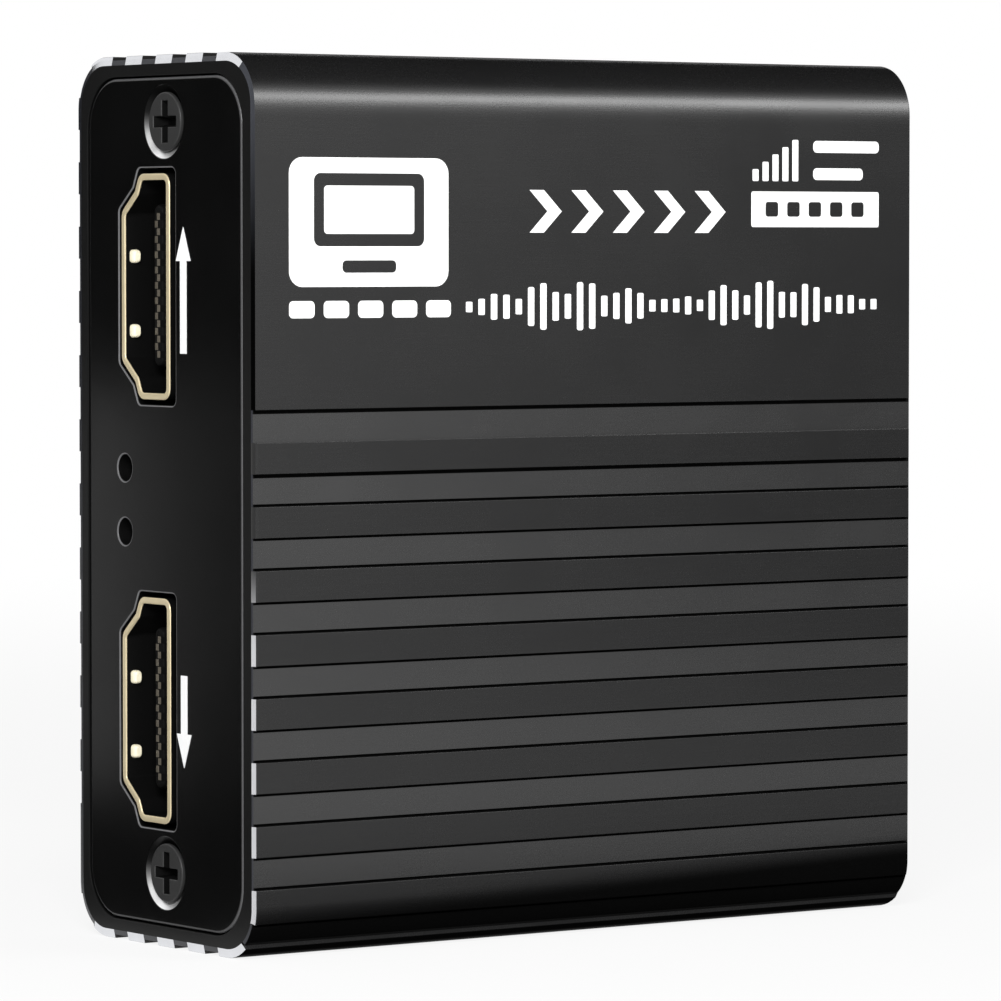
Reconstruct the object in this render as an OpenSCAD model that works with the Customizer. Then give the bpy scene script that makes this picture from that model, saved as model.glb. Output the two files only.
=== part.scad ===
// Video capture box: a ribbed metal sleeve, closed at both ends by screwed plates, around one board.
// Millimetres. X runs along the sleeve, with the two video sockets at its low end and the data socket
// at its high end. Y runs across the box, with the label face at its low side. Z is up.
// The origin is the middle of the narrow face that the box stands on.

/* [Body] */
// Length of the sleeve along X
body_l = 54; // [46:0.5:90]
// Width of the sleeve across its broad faces
body_w = 21.5; // [20:0.1:32]
// Height of the sleeve
body_h = 58.2; // [50:0.1:100]
// Corner radius over the ribs
corner_r = 3.4; // [2.6:0.1:4]
// Wall around an end plate, measured inward from the floor between ribs
mouth_wall = 1.1; // [0.8:0.05:1.4]
// Width of the ledge that an end plate rests on
ledge_w = 0.6; // [0.4:0.05:1]
// Corner radius of the hollow
hollow_r = 1.6; // [0.6:0.1:2.4]

/* [Ribs] */
// Height of a rib over the floor beside it
rib_depth = 0.25; // [0.15:0.05:0.8]
// Length along X of the bevel round each end of the sleeve
bevel_run = 0.12; // [0.05:0.01:0.6]
// Height of that bevel, measured inward from the tops of the ribs
bevel_rise = 0.66; // [0.2:0.02:1]
// Spacing of the ribs on the label face
front_pitch = 4.09; // [3:0.01:6]
// Height of a rib on the label face
front_rib_h = 2; // [1:0.05:2.6]
// Number of ribs below the flat label panel
front_rib_count = 8; // [1:1:9]
// Spacing of the ribs on the back face
back_pitch = 4.27; // [3:0.01:6]
// Height of a rib on the back face
back_rib_h = 2.13; // [1:0.01:2.6]
// Spacing of the ribs on the two narrow faces
narrow_pitch = 3.67; // [3:0.01:4]
// Width of a rib on the narrow faces
narrow_rib_w = 2; // [1:0.05:2.8]
// Distance from the end of a broad face to its first rib
face_corner_gap = 2.6; // [1.5:0.05:3]
// Distance from the edge of a narrow face to its first rib
narrow_corner_gap = 1.75; // [1.2:0.05:2]

/* [End plates] */
// Height of the screws and video sockets over their middle places
face_lift = 0.25; // [0:0.05:0.4]
// Thickness of an end plate
plate_t = 2; // [1.6:0.1:3]
// Gap between an end plate and the wall around it
plate_gap = 0.12; // [0.06:0.02:0.4]
// Depth of the plate face below the sleeve end
plate_sink = 0.05; // [0:0.01:0.3]
// Corner radius of the pocket that takes an end plate
pocket_r = 3.4; // [2:0.1:5]
// Size of the eased edge of a plate
plate_ease = 0.18; // [0.05:0.01:0.4]
// Gap between a socket and the plate around it
cutout_gap = 0.5; // [0.2:0.05:0.7]

/* [Screws] */
// Distance from a screw axis to the nearer end of the body height
screw_inset = 4.6; // [4.2:0.1:5]
// Diameter of the countersink at the plate face
sink_d = 4.8; // [4.4:0.1:5.4]
// Diameter of the screw head
head_d = 4; // [3.4:0.1:4.1]
// Depth of the screw head below the plate face
head_sink = 0.05; // [0.02:0.01:0.2]
// Diameter of the screw shank
shank_d = 2.4; // [1.8:0.1:2.6]
// Length of the screw under its head
shank_l = 7; // [4:0.5:12]
// Clearance around the shank and under the head, on the radius
screw_gap = 0.1; // [0.05:0.01:0.15]
// Wall of the screw boss around its bore
boss_wall = 1; // [0.8:0.1:1.2]
// Length of the cross recess
recess_l = 2.7; // [1.6:0.1:3]
// Width of the cross recess
recess_w = 0.85; // [0.3:0.05:1]
// Depth of the cross recess
recess_depth = 0.9; // [0.5:0.05:1.2]

/* [Board] */
// Thickness of the circuit board
board_t = 1.6; // [1:0.1:2]
// Room between the back of the board and the hollow
board_back_gap = 2.05; // [1:0.05:2.4]
// Gap between each end of the board and the nearer end plate
board_end_gap = 0.2; // [0.1:0.05:0.6]
// Gap between the board edge and the bottom of its slot
board_edge_gap = 0.2; // [0.1:0.05:0.5]
// Gap between the board faces and the sides of its slot
board_slot_gap = 0.1; // [0.05:0.01:0.2]
// Depth of the slot that holds a board edge
slot_depth = 1.6; // [1:0.1:2]
// Thickness of the slot wall on the component side
slot_wall = 1; // [0.6:0.1:1.4]
// Gap around the metal legs and pins that pass through the board
leg_gap = 0.15; // [0.1:0.01:0.25]
// Length of a leg or pin behind the board
leg_reach = 0.7; // [0.3:0.05:0.9]

/* [Video sockets] */
// Length of the socket opening
mouth_l = 14; // [13.8:0.05:14.4]
// Height of the socket opening
mouth_h = 4.55; // [4.5:0.05:4.8]
// Length of the opening along its narrow side
mouth_narrow_l = 9.8; // [9:0.1:11]
// Height of the straight ends of the opening
mouth_knee = 2.5; // [2:0.1:3]
// Corner radius of the opening
mouth_r = 0.35; // [0.2:0.05:0.5]
// Length of the short step beside the straight ends
mouth_step = 0.85; // [0.3:0.05:1.2]
// Height that the step takes up
mouth_step_h = 0.35; // [0.1:0.05:0.6]
// Thickness of the metal shell
shell_t = 0.45; // [0.3:0.05:0.5]
// Length of the metal shell
shell_l = 11.5; // [10:0.5:13]
// Distance from a socket centre to the nearer end of the body height
socket_inset = 15.25; // [15:0.05:16]
// Gap between a shell and the board under it
shell_standoff = 0.1; // [0.05:0.01:0.2]
// Thickness of the contact tongue
tongue_t = 1.1; // [0.8:0.05:1.4]
// Length of the contact tongue across the opening
tongue_w = 10.6; // [10.2:0.1:11]
// Offset of the tongue towards the long side of the opening
tongue_shift = 0.45; // [0:0.05:0.8]
// Distance from the socket face to the tongue
tongue_recess = 0.7; // [0.6:0.1:2]
// Length of the solid block behind the tongue
block_l = 2.5; // [1.5:0.1:4]
// Spacing of the contacts in a row
contact_pitch = 1; // [0.9:0.05:1]
// Number of contacts on the board side of the tongue
contact_count = 9; // [5:1:9]
// Width of a contact
contact_w = 0.32; // [0.2:0.01:0.36]
// Thickness of a contact
contact_t = 0.16; // [0.1:0.01:0.2]
// Distance from the tip of the tongue to its contacts
contact_tip_gap = 0.1; // [0.05:0.05:0.4]
// Gap between the shell and the contact tails behind it
tail_gap = 0.2; // [0.1:0.05:0.4]
// Length of the soldered foot of a contact
foot_l = 0.9; // [0.5:0.1:1.2]
// Length of a shell leg along X
leg_l = 1.3; // [0.8:0.1:1.6]
// Amount that a leg is thinner than the shell on each of its faces
leg_shy = 0.05; // [0.02:0.01:0.1]
// Distance from the socket face to the middle of the front legs
front_leg_inset = 4.2; // [3.6:0.1:5]
// Distance from the middle of the front legs to the middle of the rear legs
leg_spacing = 5.2; // [4:0.1:5.4]
// Radius of the latch bumps in the shell
bump_r = 0.5; // [0.3:0.05:0.8]
// Height of the latch bumps
bump_h = 0.35; // [0.2:0.05:0.5]
// Distance from the socket face to the latch bumps
bump_inset = 0.65; // [0.55:0.05:3]
// Distance between the two latch bumps of a side
bump_spacing = 4.9; // [4:0.1:6]
// Distance of the latch bumps below the middle of the opening
bump_drop = 0.55; // [0:0.05:1]

/* [Data socket] */
// Length of the socket along X
data_l = 17.5; // [16:0.5:18.5]
// Size of the socket along Z
data_w = 12; // [11.6:0.1:12.6]
// Size of the socket out from the board
data_h = 12.6; // [12.4:0.1:12.8]
// Thickness of the metal shell
data_shell_t = 0.35; // [0.25:0.05:0.5]
// Depth of the plastic face below the shell edge
data_face_sink = 0.3; // [0.1:0.05:0.6]
// Depth of the opening
data_mouth_depth = 9; // [8:0.1:10]
// Size of the opening along Z
data_mouth_w = 8.45; // [8.2:0.05:8.8]
// Size of the opening out from the board
data_mouth_h = 7.4; // [7:0.1:7.6]
// Size of the corner cut of the opening
data_mouth_cut = 1.5; // [0.8:0.1:2]
// Size of the upper opening along Z
data_upper_w = 5.6; // [5.2:0.1:6]
// Size of the upper opening out from the main opening
data_upper_h = 2.6; // [2.2:0.1:2.8]
// Plastic between the opening and the board side of the socket
data_floor_t = 1.1; // [0.8:0.1:1.3]
// Size of the tongue along Z
data_tongue_w = 5.6; // [5:0.1:6]
// Size of the tongue out from the board
data_tongue_h = 3.2; // [2.6:0.1:3.6]
// Distance from the plastic face to the tongue
data_tongue_recess = 1; // [0.5:0.1:2]
// Width of a tongue contact
data_contact_w = 1; // [0.6:0.1:1.2]
// Distance between the two contacts on a side of the tongue
data_contact_spacing = 2.5; // [2.2:0.1:2.8]
// Thickness of every contact
data_contact_t = 0.25; // [0.15:0.05:0.3]
// Width of a contact in the upper opening
data_upper_contact_w = 0.5; // [0.3:0.05:0.6]
// Spacing of the contacts in the upper opening
data_upper_pitch = 1; // [0.9:0.05:1.05]
// Number of contacts in the upper opening
data_upper_count = 5; // [3:2:5]
// Thickness of a contact pin along X
data_pin_l = 0.4; // [0.3:0.05:0.6]
// Diameter of a pin hole in the board
data_pin_hole_d = 1.5; // [1.45:0.05:1.6]
// Distance between the rows of pins
data_row_spacing = 2; // [1.8:0.1:2.2]
// Length of a shell leg along X
data_leg_l = 1.6; // [1:0.1:2]
// Distance from the socket face to the middle of the shell legs
data_leg_inset = 6.5; // [5:0.1:8]

/* [Lamps] */
// Distance between the two lamps
lamp_spacing = 4.2; // [3:0.1:4.6]
// Diameter of a lamp hole
lamp_hole_d = 1.8; // [1.2:0.1:2]
// Distance from the lamp hole axis to the component face of the board
lamp_hole_lift = 0.25; // [0.1:0.05:0.6]
// Size of a lamp along Z
lamp_w = 2; // [1.6:0.1:2.4]
// Size of a lamp along X
lamp_l = 1.1; // [0.8:0.1:1.4]
// Height of a lamp above the board
lamp_h = 1; // [0.8:0.05:1.2]
// Radius of the lamp lens
lamp_lens_r = 0.4; // [0.25:0.05:0.45]
// Distance from the front edge of the board to a lamp
lamp_inset = 0.6; // [0.45:0.05:1]

/* [Chips and other components] */
// Side of the capture chip
capture_side = 12; // [8:0.5:12]
// Side of the splitter chip
splitter_side = 10; // [7:0.5:10]
// Height of the chip bodies
chip_h = 1.4; // [0.8:0.1:2]
// Gap between a chip body and the board
chip_standoff = 0.1; // [0.05:0.01:0.12]
// Spacing of the chip leads
lead_pitch = 0.8; // [0.5:0.05:1]
// Width of a chip lead
lead_w = 0.3; // [0.2:0.01:0.4]
// Thickness of a chip lead
lead_t = 0.16; // [0.14:0.01:0.25]
// Reach of a chip lead from its body
lead_reach = 0.9; // [0.5:0.1:1]
// Distance between the two chip centres
chip_spacing = 15; // [14:0.1:18]
// Size of the memory chip along X
flash_l = 5.2; // [4:0.1:5.4]
// Size of the memory chip along Z
flash_w = 5.3; // [4:0.1:5.6]
// Height of the memory chip
flash_h = 1.8; // [1.2:0.1:2]
// Number of leads on each side of the memory chip
flash_leads = 4; // [2:1:4]
// Spacing of the memory chip leads
flash_pitch = 1.27; // [1:0.01:1.3]
// Size of the crystal can along X
crystal_l = 5; // [3:0.1:5]
// Size of the crystal can along Z
crystal_w = 3.2; // [2:0.1:3.4]
// Height of the crystal can
crystal_h = 1.1; // [0.8:0.1:1.4]
// Width of the rim around the crystal lid
crystal_rim = 0.35; // [0.2:0.05:0.5]
// Side of a coil
coil_side = 4; // [3:0.1:4.4]
// Height of a coil
coil_h = 2; // [1.2:0.1:3]
// Corner radius of a coil
coil_r = 0.8; // [0.4:0.1:1.2]
// Number of coils
coil_count = 2; // [1:1:3]
// Distance between coil centres
coil_spacing = 5.2; // [4.8:0.1:5.6]
// Size of the regulator body along X
regulator_l = 6.5; // [5:0.1:6.8]
// Size of the regulator body along Z
regulator_w = 3.5; // [3:0.1:3.8]
// Height of the regulator
regulator_h = 1.6; // [1.2:0.1:1.8]
// Width of the regulator tab
regulator_tab_w = 3; // [2:0.1:3.2]
// Spacing of the regulator leads
regulator_pitch = 2.3; // [1.8:0.1:2.3]
// Length of the regulator leads and tab
regulator_lead_l = 1.7; // [1:0.1:2]
// Width of a regulator lead
regulator_lead_w = 0.7; // [0.4:0.05:1]
// Size of a bulk capacitor along X
bulk_l = 3.5; // [2.5:0.1:3.8]
// Size of a bulk capacitor along Z
bulk_w = 2.8; // [2:0.1:3]
// Height of a bulk capacitor
bulk_h = 1.9; // [1.2:0.1:2.4]
// Distance between the bulk capacitors
bulk_spacing = 5.4; // [4.6:0.1:5.8]
// Size of a ceramic capacitor along X
ceramic_l = 1.6; // [1:0.1:1.7]
// Size of a ceramic capacitor along Z
ceramic_w = 0.8; // [0.5:0.05:1]
// Height of a ceramic capacitor
ceramic_h = 0.8; // [0.4:0.05:1]
// Spacing of the ceramic capacitors
ceramic_pitch = 2.4; // [2:0.1:2.6]
// Number of ceramic capacitors in each row
ceramic_count = 5; // [2:1:5]
// Side of the thermal pad behind the capture chip
pad_side = 13; // [8:0.5:13]
// Gap between the thermal pad and the sleeve
pad_gap = 0.05; // [0.02:0.01:0.1]
// Distance from the inner plate face to the components beside the data socket
shelf_inset = 3; // [2.5:0.1:4]
// Distance from the middle of the box to the components beside the data socket
shelf_lift = 11; // [10.5:0.1:12]

/* [Hidden] */
$fn = 64;
// Extra length that carries a cut clear through a face
past = 1;
// Clearance between a moulded block and the metal set into it
mould_gap = 0.04;
half_l = body_l / 2;
half_w = body_w / 2;
mid_z = body_h / 2;
label_edge_z = face_corner_gap + front_rib_count * front_pitch;
back_rib_top = body_h - face_corner_gap;
back_rib_count = floor((back_rib_top - face_corner_gap) / back_pitch);
corner_rib_in = 2 * narrow_pitch - narrow_rib_w / 2;
corner_rib_out = half_w - narrow_corner_gap;
pocket_inset = rib_depth + mouth_wall;
pocket_depth = plate_t + plate_sink;
hollow_inset = pocket_inset + ledge_w;
plate_inset = pocket_inset + plate_gap;
plate_r = pocket_r - plate_gap;
plate_face_x = half_l - plate_sink;
plate_back_x = half_l - pocket_depth;
screw_heights = [face_lift + screw_inset, face_lift + body_h - screw_inset];
bore_r = shank_d / 2 + screw_gap;
boss_r = bore_r + boss_wall;
head_rim = (sink_d - head_d) / 2 - screw_gap - head_sink;
head_l = head_rim + (head_d - shank_d) / 2;
board_back_y = half_w - hollow_inset - board_back_gap;
board_face_y = board_back_y - board_t;
board_half_l = plate_back_x - board_end_gap;
board_low_z = hollow_inset + board_edge_gap;
board_h = body_h - 2 * board_low_z;
leg_tip_y = board_back_y + leg_reach;
socket_y = board_face_y - shell_standoff - shell_t - mouth_h / 2;
tongue_y = socket_y - tongue_shift;
socket_face_x = -plate_face_x;
socket_back_x = socket_face_x + shell_l;
output_z = face_lift + body_h - socket_inset;
input_z = face_lift + socket_inset;
block_x = socket_back_x - block_l;
tongue_x = socket_face_x + tongue_recess;
contact_x = tongue_x + contact_tip_gap;
tail_x = socket_back_x + tail_gap;
contact_end_x = tail_x + contact_t;
mouth_core_y = mouth_h / 2 - mouth_r;
mouth_core_z = mouth_l / 2 - mouth_r;
mouth_core_knee = mouth_knee - mouth_h / 2;
mouth_core_narrow = mouth_narrow_l / 2 - mouth_r;
mouth_core = [
    [-mouth_core_y, -mouth_core_z],
    [mouth_core_knee, -mouth_core_z],
    [mouth_core_knee + mouth_step_h, mouth_step - mouth_core_z],
    [mouth_core_y, -mouth_core_narrow],
    [mouth_core_y, mouth_core_narrow],
    [mouth_core_knee + mouth_step_h, mouth_core_z - mouth_step],
    [mouth_core_knee, mouth_core_z],
    [-mouth_core_y, mouth_core_z]
];
leg_places = [front_leg_inset, front_leg_inset + leg_spacing];
leg_side_z = mouth_l / 2 + shell_t / 2;
leg_half_t = shell_t / 2 - leg_shy;
data_back_x = plate_face_x - data_l;
data_top_y = board_face_y - shell_standoff - data_h;
data_low_y = board_face_y - shell_standoff;
data_core_face_x = plate_face_x - data_face_sink;
data_mouth_back_x = data_core_face_x - data_mouth_depth;
data_mouth_low_y = data_low_y - data_floor_t;
data_mouth_top_y = data_mouth_low_y - data_mouth_h;
data_tongue_mid_y = (data_mouth_low_y + data_mouth_top_y) / 2;
data_upper_top_y = data_mouth_top_y - data_upper_h;
data_tongue_tip_x = data_core_face_x - data_tongue_recess;
data_contact_tip_x = data_tongue_tip_x - contact_tip_gap;
data_leg_x = plate_face_x - data_leg_inset;
data_pin_rows = [for (row = [1:3]) data_mouth_back_x - row * data_row_spacing];
data_pairs = [-data_contact_spacing / 2, data_contact_spacing / 2];
data_upper_mid = (data_upper_count - 1) / 2;
data_upper_places = [for (n = [0:data_upper_count - 1]) (n - data_upper_mid) * data_upper_pitch];
lamp_y = board_face_y - lamp_hole_lift;
lamp_x = lamp_inset - board_half_l;
signal_lamp_z = mid_z + lamp_spacing / 2;
power_lamp_z = mid_z - lamp_spacing / 2;
chip_x = (contact_end_x + foot_l + data_back_x) / 2;
capture_z = mid_z + chip_spacing / 2;
splitter_z = mid_z - chip_spacing / 2;
shelf_x = plate_back_x - shelf_inset;
shelf_high_z = mid_z + shelf_lift;
shelf_low_z = mid_z - shelf_lift;
crystal_z = shelf_low_z - coil_side;

// Carries a drawing made in Y and Z along X
module along_x(start, length) {
    translate([start, 0, 0])
        rotate([90, 0, 90])
            linear_extrude(length)
                children();
}

// A box given by its low and high corners
module span(low, high) {
    translate(low)
        cube(high - low);
}

module round_rect(w, h, r) {
    square([w - 2 * r, h], center = true);
    square([w, h - 2 * r], center = true);
    for (side = [-1, 1], end = [-1, 1])
        translate([side * (w / 2 - r), end * (h / 2 - r)])
            circle(r);
}

// The outline of the body in Y and Z, drawn in by an inset
module body_outline(inset, r) {
    translate([0, mid_z])
        round_rect(body_w - 2 * inset, body_h - 2 * inset, r);
}

// A polygon listed anticlockwise, grown by a radius
module grown_polygon(points, r) {
    polygon(points);
    for (n = [0:len(points) - 1]) {
        from = points[n];
        to = points[(n + 1) % len(points)];
        way = (to - from) / norm(to - from);
        out = [way.y, -way.x] * r;
        translate(from)
            circle(r);
        polygon([from, from + out, to + out, to]);
    }
}

// A cutter for the edge of a rounded plate that faces down its own axis
module edge_cutter(w, h, r, rise, run) {
    slope = [[r - rise, -past], [r + past, -past], [r + past, run], [r, run], [r - rise, 0]];
    for (turn = [0:3]) {
        wide = turn % 2 == 0 ? w : h;
        tall = turn % 2 == 0 ? h : w;
        rotate(90 * turn) {
            translate([wide / 2 - r, 0, 0])
                rotate([90, 0, 0])
                    linear_extrude(tall - 2 * r, center = true)
                        polygon(slope);
            translate([wide / 2 - r, tall / 2 - r, 0])
                rotate_extrude(angle = 90)
                    polygon(slope);
        }
    }
}

module place_edge_cutter(x, w, h, r, rise, run) {
    translate([x, 0, mid_z])
        rotate([90, 0, 90])
            edge_cutter(w, h, r, rise, run);
}

module both_ends() {
    children();
    mirror([1, 0, 0])
        children();
}

module label_panel_band() {
    translate([-half_w, label_edge_z])
        square([half_w - corner_rib_in, body_h - label_edge_z]);
}

module front_rib_bands() {
    for (n = [0:front_rib_count - 1])
        translate([-half_w, face_corner_gap + n * front_pitch])
            square([corner_r, front_rib_h]);
}

// The lowest rib of the back face is left tall, down to the corner
module back_rib_bands() {
    for (n = [0:back_rib_count - 2])
        translate([half_w - corner_r, back_rib_top - n * back_pitch - back_rib_h])
            square([corner_r, back_rib_h]);
    translate([half_w - corner_r, face_corner_gap])
        square([corner_r, back_rib_top - (back_rib_count - 1) * back_pitch - face_corner_gap]);
}

module narrow_rib_bands() {
    for (low = [0, body_h - corner_r]) {
        for (n = [-1:1])
            translate([n * narrow_pitch - narrow_rib_w / 2, low])
                square([narrow_rib_w, corner_r]);
        translate([corner_rib_in, low])
            square([corner_rib_out - corner_rib_in, corner_r]);
        translate([-corner_rib_out, low])
            square([corner_rib_out - corner_rib_in, corner_r]);
    }
}

module sleeve_outline() {
    body_outline(rib_depth, corner_r - rib_depth);
    intersection() {
        body_outline(0, corner_r);
        union() {
            label_panel_band();
            front_rib_bands();
            back_rib_bands();
            narrow_rib_bands();
        }
    }
}

module boss_outline() {
    for (end = [0, 1]) {
        z = screw_heights[end];
        foot = end == 0 ? pocket_inset : z;
        head = end == 0 ? z : body_h - pocket_inset;
        translate([0, z])
            circle(boss_r);
        translate([-boss_r, foot])
            square([2 * boss_r, head - foot]);
    }
}

// Walls that stand on both sides of each board edge
module slot_outline() {
    slot_y = board_face_y - board_slot_gap - slot_wall;
    backing_y = board_back_y + board_slot_gap;
    reach = slot_depth + ledge_w;
    for (low = [pocket_inset, body_h - pocket_inset - reach]) {
        translate([slot_y, low])
            square([slot_wall, reach]);
        translate([backing_y, low])
            square([half_w - pocket_inset - backing_y, reach]);
    }
}

module hollow_outline() {
    difference() {
        body_outline(hollow_inset, hollow_r);
        boss_outline();
        slot_outline();
    }
}

module sleeve() {
    color("dimgray")
        difference() {
            along_x(-half_l, body_l)
                sleeve_outline();
            along_x(-half_l - past, body_l + 2 * past)
                hollow_outline();
            both_ends() {
                along_x(-half_l - past, pocket_depth + past)
                    body_outline(pocket_inset, pocket_r);
                place_edge_cutter(-half_l, body_w, body_h, corner_r, bevel_rise, bevel_run);
            }
            for (z = screw_heights)
                translate([-half_l - past, 0, z])
                    rotate([0, 90, 0])
                        cylinder(h = body_l + 2 * past, r = bore_r);
        }
}

// An end plate as it lies at the low end of X
module plate_blank() {
    w = body_w - 2 * plate_inset;
    h = body_h - 2 * plate_inset;
    difference() {
        along_x(-plate_face_x, plate_t)
            body_outline(plate_inset, plate_r);
        place_edge_cutter(-plate_face_x, w, h, plate_r, plate_ease, plate_ease);
        for (z = screw_heights)
            translate([-plate_face_x, 0, z])
                rotate([0, 90, 0]) {
                    cylinder(h = plate_t + past, r = bore_r);
                    cylinder(h = sink_d / 2 - bore_r, r1 = sink_d / 2, r2 = bore_r);
                }
    }
}

module socket_outline(z, grow) {
    translate([socket_y, z])
        grown_polygon(mouth_core, mouth_r + grow);
}

module front_plate() {
    color("black")
        difference() {
            plate_blank();
            for (z = [output_z, input_z])
                along_x(-half_l, pocket_depth + past)
                    socket_outline(z, shell_t + cutout_gap);
            for (z = [signal_lamp_z, power_lamp_z])
                translate([-half_l, lamp_y, z])
                    rotate([0, 90, 0])
                        cylinder(h = pocket_depth + past, d = lamp_hole_d);
        }
}

module rear_plate() {
    half_cut = data_w / 2 + cutout_gap;
    color("black")
        difference() {
            mirror([1, 0, 0])
                plate_blank();
            span(
                [plate_back_x - past, data_top_y - cutout_gap, mid_z - half_cut],
                [half_l, data_low_y + cutout_gap, mid_z + half_cut]
            );
        }
}

// A countersunk screw with its head down and its tip up
module screw() {
    difference() {
        union() {
            cylinder(h = head_rim, r = head_d / 2);
            translate([0, 0, head_rim])
                cylinder(h = head_l - head_rim, r1 = head_d / 2, r2 = shank_d / 2);
            cylinder(h = head_l + shank_l, r = shank_d / 2);
        }
        for (turn = [0, 90])
            rotate(turn)
                translate([-recess_l / 2, -recess_w / 2, -past])
                    cube([recess_l, recess_w, recess_depth + past]);
    }
}

module end_screws() {
    for (z = screw_heights)
        translate([-plate_face_x + head_sink, 0, z])
            rotate([0, 90, 0])
                screw();
}

module front_screws() {
    color("gray")
        end_screws();
}

module rear_screws() {
    color("gray")
        mirror([1, 0, 0])
            end_screws();
}

module data_pin_hole(x, z) {
    translate([x, board_face_y - past, z])
        rotate([-90, 0, 0])
            cylinder(h = board_t + 2 * past, d = data_pin_hole_d);
}

module circuit_board() {
    low_y = board_face_y - past;
    high_y = board_back_y + past;
    half_slot = leg_l / 2 + leg_gap;
    half_wall = leg_half_t + leg_gap;
    data_half_slot = data_leg_l / 2 + leg_gap;
    data_half_wall = data_shell_t / 2 + leg_gap;
    data_side_z = (data_w - data_shell_t) / 2;
    color("darkgreen")
        difference() {
            span(
                [-board_half_l, board_face_y, board_low_z],
                [board_half_l, board_back_y, board_low_z + board_h]
            );
            for (z = [output_z, input_z], side = [-1, 1], place = leg_places) {
                x = socket_face_x + place;
                edge = z + side * leg_side_z;
                span([x - half_slot, low_y, edge - half_wall], [x + half_slot, high_y, edge + half_wall]);
            }
            for (side = [-1, 1]) {
                edge = mid_z + side * data_side_z;
                span(
                    [data_leg_x - data_half_slot, low_y, edge - data_half_wall],
                    [data_leg_x + data_half_slot, high_y, edge + data_half_wall]
                );
            }
            for (row = [0, 1], z = data_pairs)
                data_pin_hole(data_pin_rows[row] + data_pin_l / 2, mid_z + z);
            span(
                [data_pin_rows[2] - leg_gap, low_y, mid_z + data_upper_places[0] - data_upper_contact_w],
                [
                    data_pin_rows[2] + data_pin_l + leg_gap,
                    high_y,
                    mid_z - data_upper_places[0] + data_upper_contact_w
                ]
            );
        }
}

// Half-round bumps that stand out of the inner faces of a shell
module latch_bumps(z) {
    for (side = [-1, 1], place = [-1, 1])
        translate([
            socket_face_x + bump_inset,
            socket_y + side * (mouth_h / 2 + shell_t / 2),
            z - bump_drop + place * bump_spacing / 2
        ])
            rotate([side * 90, 0, 0])
                cylinder(h = bump_h + shell_t / 2, r1 = bump_r, r2 = bump_r / 2);
}

module socket_legs(z) {
    for (side = [-1, 1], place = leg_places) {
        x = socket_face_x + place;
        edge = z + side * leg_side_z;
        span(
            [x - leg_l / 2, socket_y, edge - leg_half_t],
            [x + leg_l / 2, leg_tip_y, edge + leg_half_t]
        );
    }
}

// The stamped shell of a video socket with its latch bumps and its four legs
module socket_shell(z) {
    along_x(socket_face_x, shell_l)
        difference() {
            socket_outline(z, shell_t);
            socket_outline(z, 0);
        }
    latch_bumps(z);
    socket_legs(z);
}

// Contact places of one socket: the row on the board side, then the longer row on the far side
function row_places(count) = [for (n = [0:count - 1]) (n - (count - 1) / 2) * contact_pitch];

module contact_strip(z, side, grow) {
    inner = tongue_y + side * tongue_t / 2;
    outer = inner + side * (contact_t + grow);
    span(
        [contact_x, min(inner, outer), z - contact_w / 2 - grow],
        [contact_end_x, max(inner, outer), z + contact_w / 2 + grow]
    );
}

module contact_row(z, side, grow) {
    for (place = row_places(side > 0 ? contact_count : contact_count + 1))
        contact_strip(z + place, side, grow);
}

module socket_contacts(z) {
    for (side = [-1, 1], place = row_places(side > 0 ? contact_count : contact_count + 1)) {
        edge = z + place;
        contact_strip(edge, side, 0);
        span(
            [tail_x, tongue_y + side * tongue_t / 2, edge - contact_w / 2],
            [contact_end_x, board_face_y, edge + contact_w / 2]
        );
        span(
            [tail_x, board_face_y - contact_t, edge - contact_w / 2],
            [contact_end_x + foot_l, board_face_y, edge + contact_w / 2]
        );
    }
}

module socket_insulator(z) {
    difference() {
        union() {
            along_x(block_x, block_l)
                socket_outline(z, -mould_gap);
            span(
                [tongue_x, tongue_y - tongue_t / 2, z - tongue_w / 2],
                [block_x, tongue_y + tongue_t / 2, z + tongue_w / 2]
            );
        }
        contact_row(z, -1, mould_gap);
        contact_row(z, 1, mould_gap);
    }
}

module output_shell() {
    color("goldenrod")
        socket_shell(output_z);
}

module output_insulator() {
    color("black")
        socket_insulator(output_z);
}

module output_contacts() {
    color("gold")
        socket_contacts(output_z);
}

module input_shell() {
    color("goldenrod")
        socket_shell(input_z);
}

module input_insulator() {
    color("black")
        socket_insulator(input_z);
}

module input_contacts() {
    color("gold")
        socket_contacts(input_z);
}

// A metal box, open towards the plug and towards the board, with a leg on each side
module data_shell() {
    half = data_w / 2;
    inner = half - data_shell_t;
    color("silver")
        difference() {
            union() {
                span([data_back_x, data_top_y, mid_z - half], [plate_face_x, data_low_y, mid_z + half]);
                for (side = [-1, 1]) {
                    edge = mid_z + side * (half - data_shell_t / 2);
                    span(
                        [data_leg_x - data_leg_l / 2, data_low_y - past, edge - data_shell_t / 2],
                        [data_leg_x + data_leg_l / 2, leg_tip_y, edge + data_shell_t / 2]
                    );
                }
            }
            span(
                [data_back_x + data_shell_t, data_top_y + data_shell_t, mid_z - inner],
                [plate_face_x + past, leg_tip_y + past, mid_z + inner]
            );
        }
}

module data_mouth_outline() {
    half = data_mouth_w / 2;
    polygon([
        [data_mouth_low_y, -half],
        [data_mouth_low_y, half],
        [data_mouth_top_y + data_mouth_cut, half],
        [data_mouth_top_y, half - data_mouth_cut],
        [data_mouth_top_y, data_mouth_cut - half],
        [data_mouth_top_y + data_mouth_cut, -half]
    ]);
    translate([data_upper_top_y, -data_upper_w / 2])
        square([data_upper_h + data_mouth_cut, data_upper_w]);
}

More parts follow.
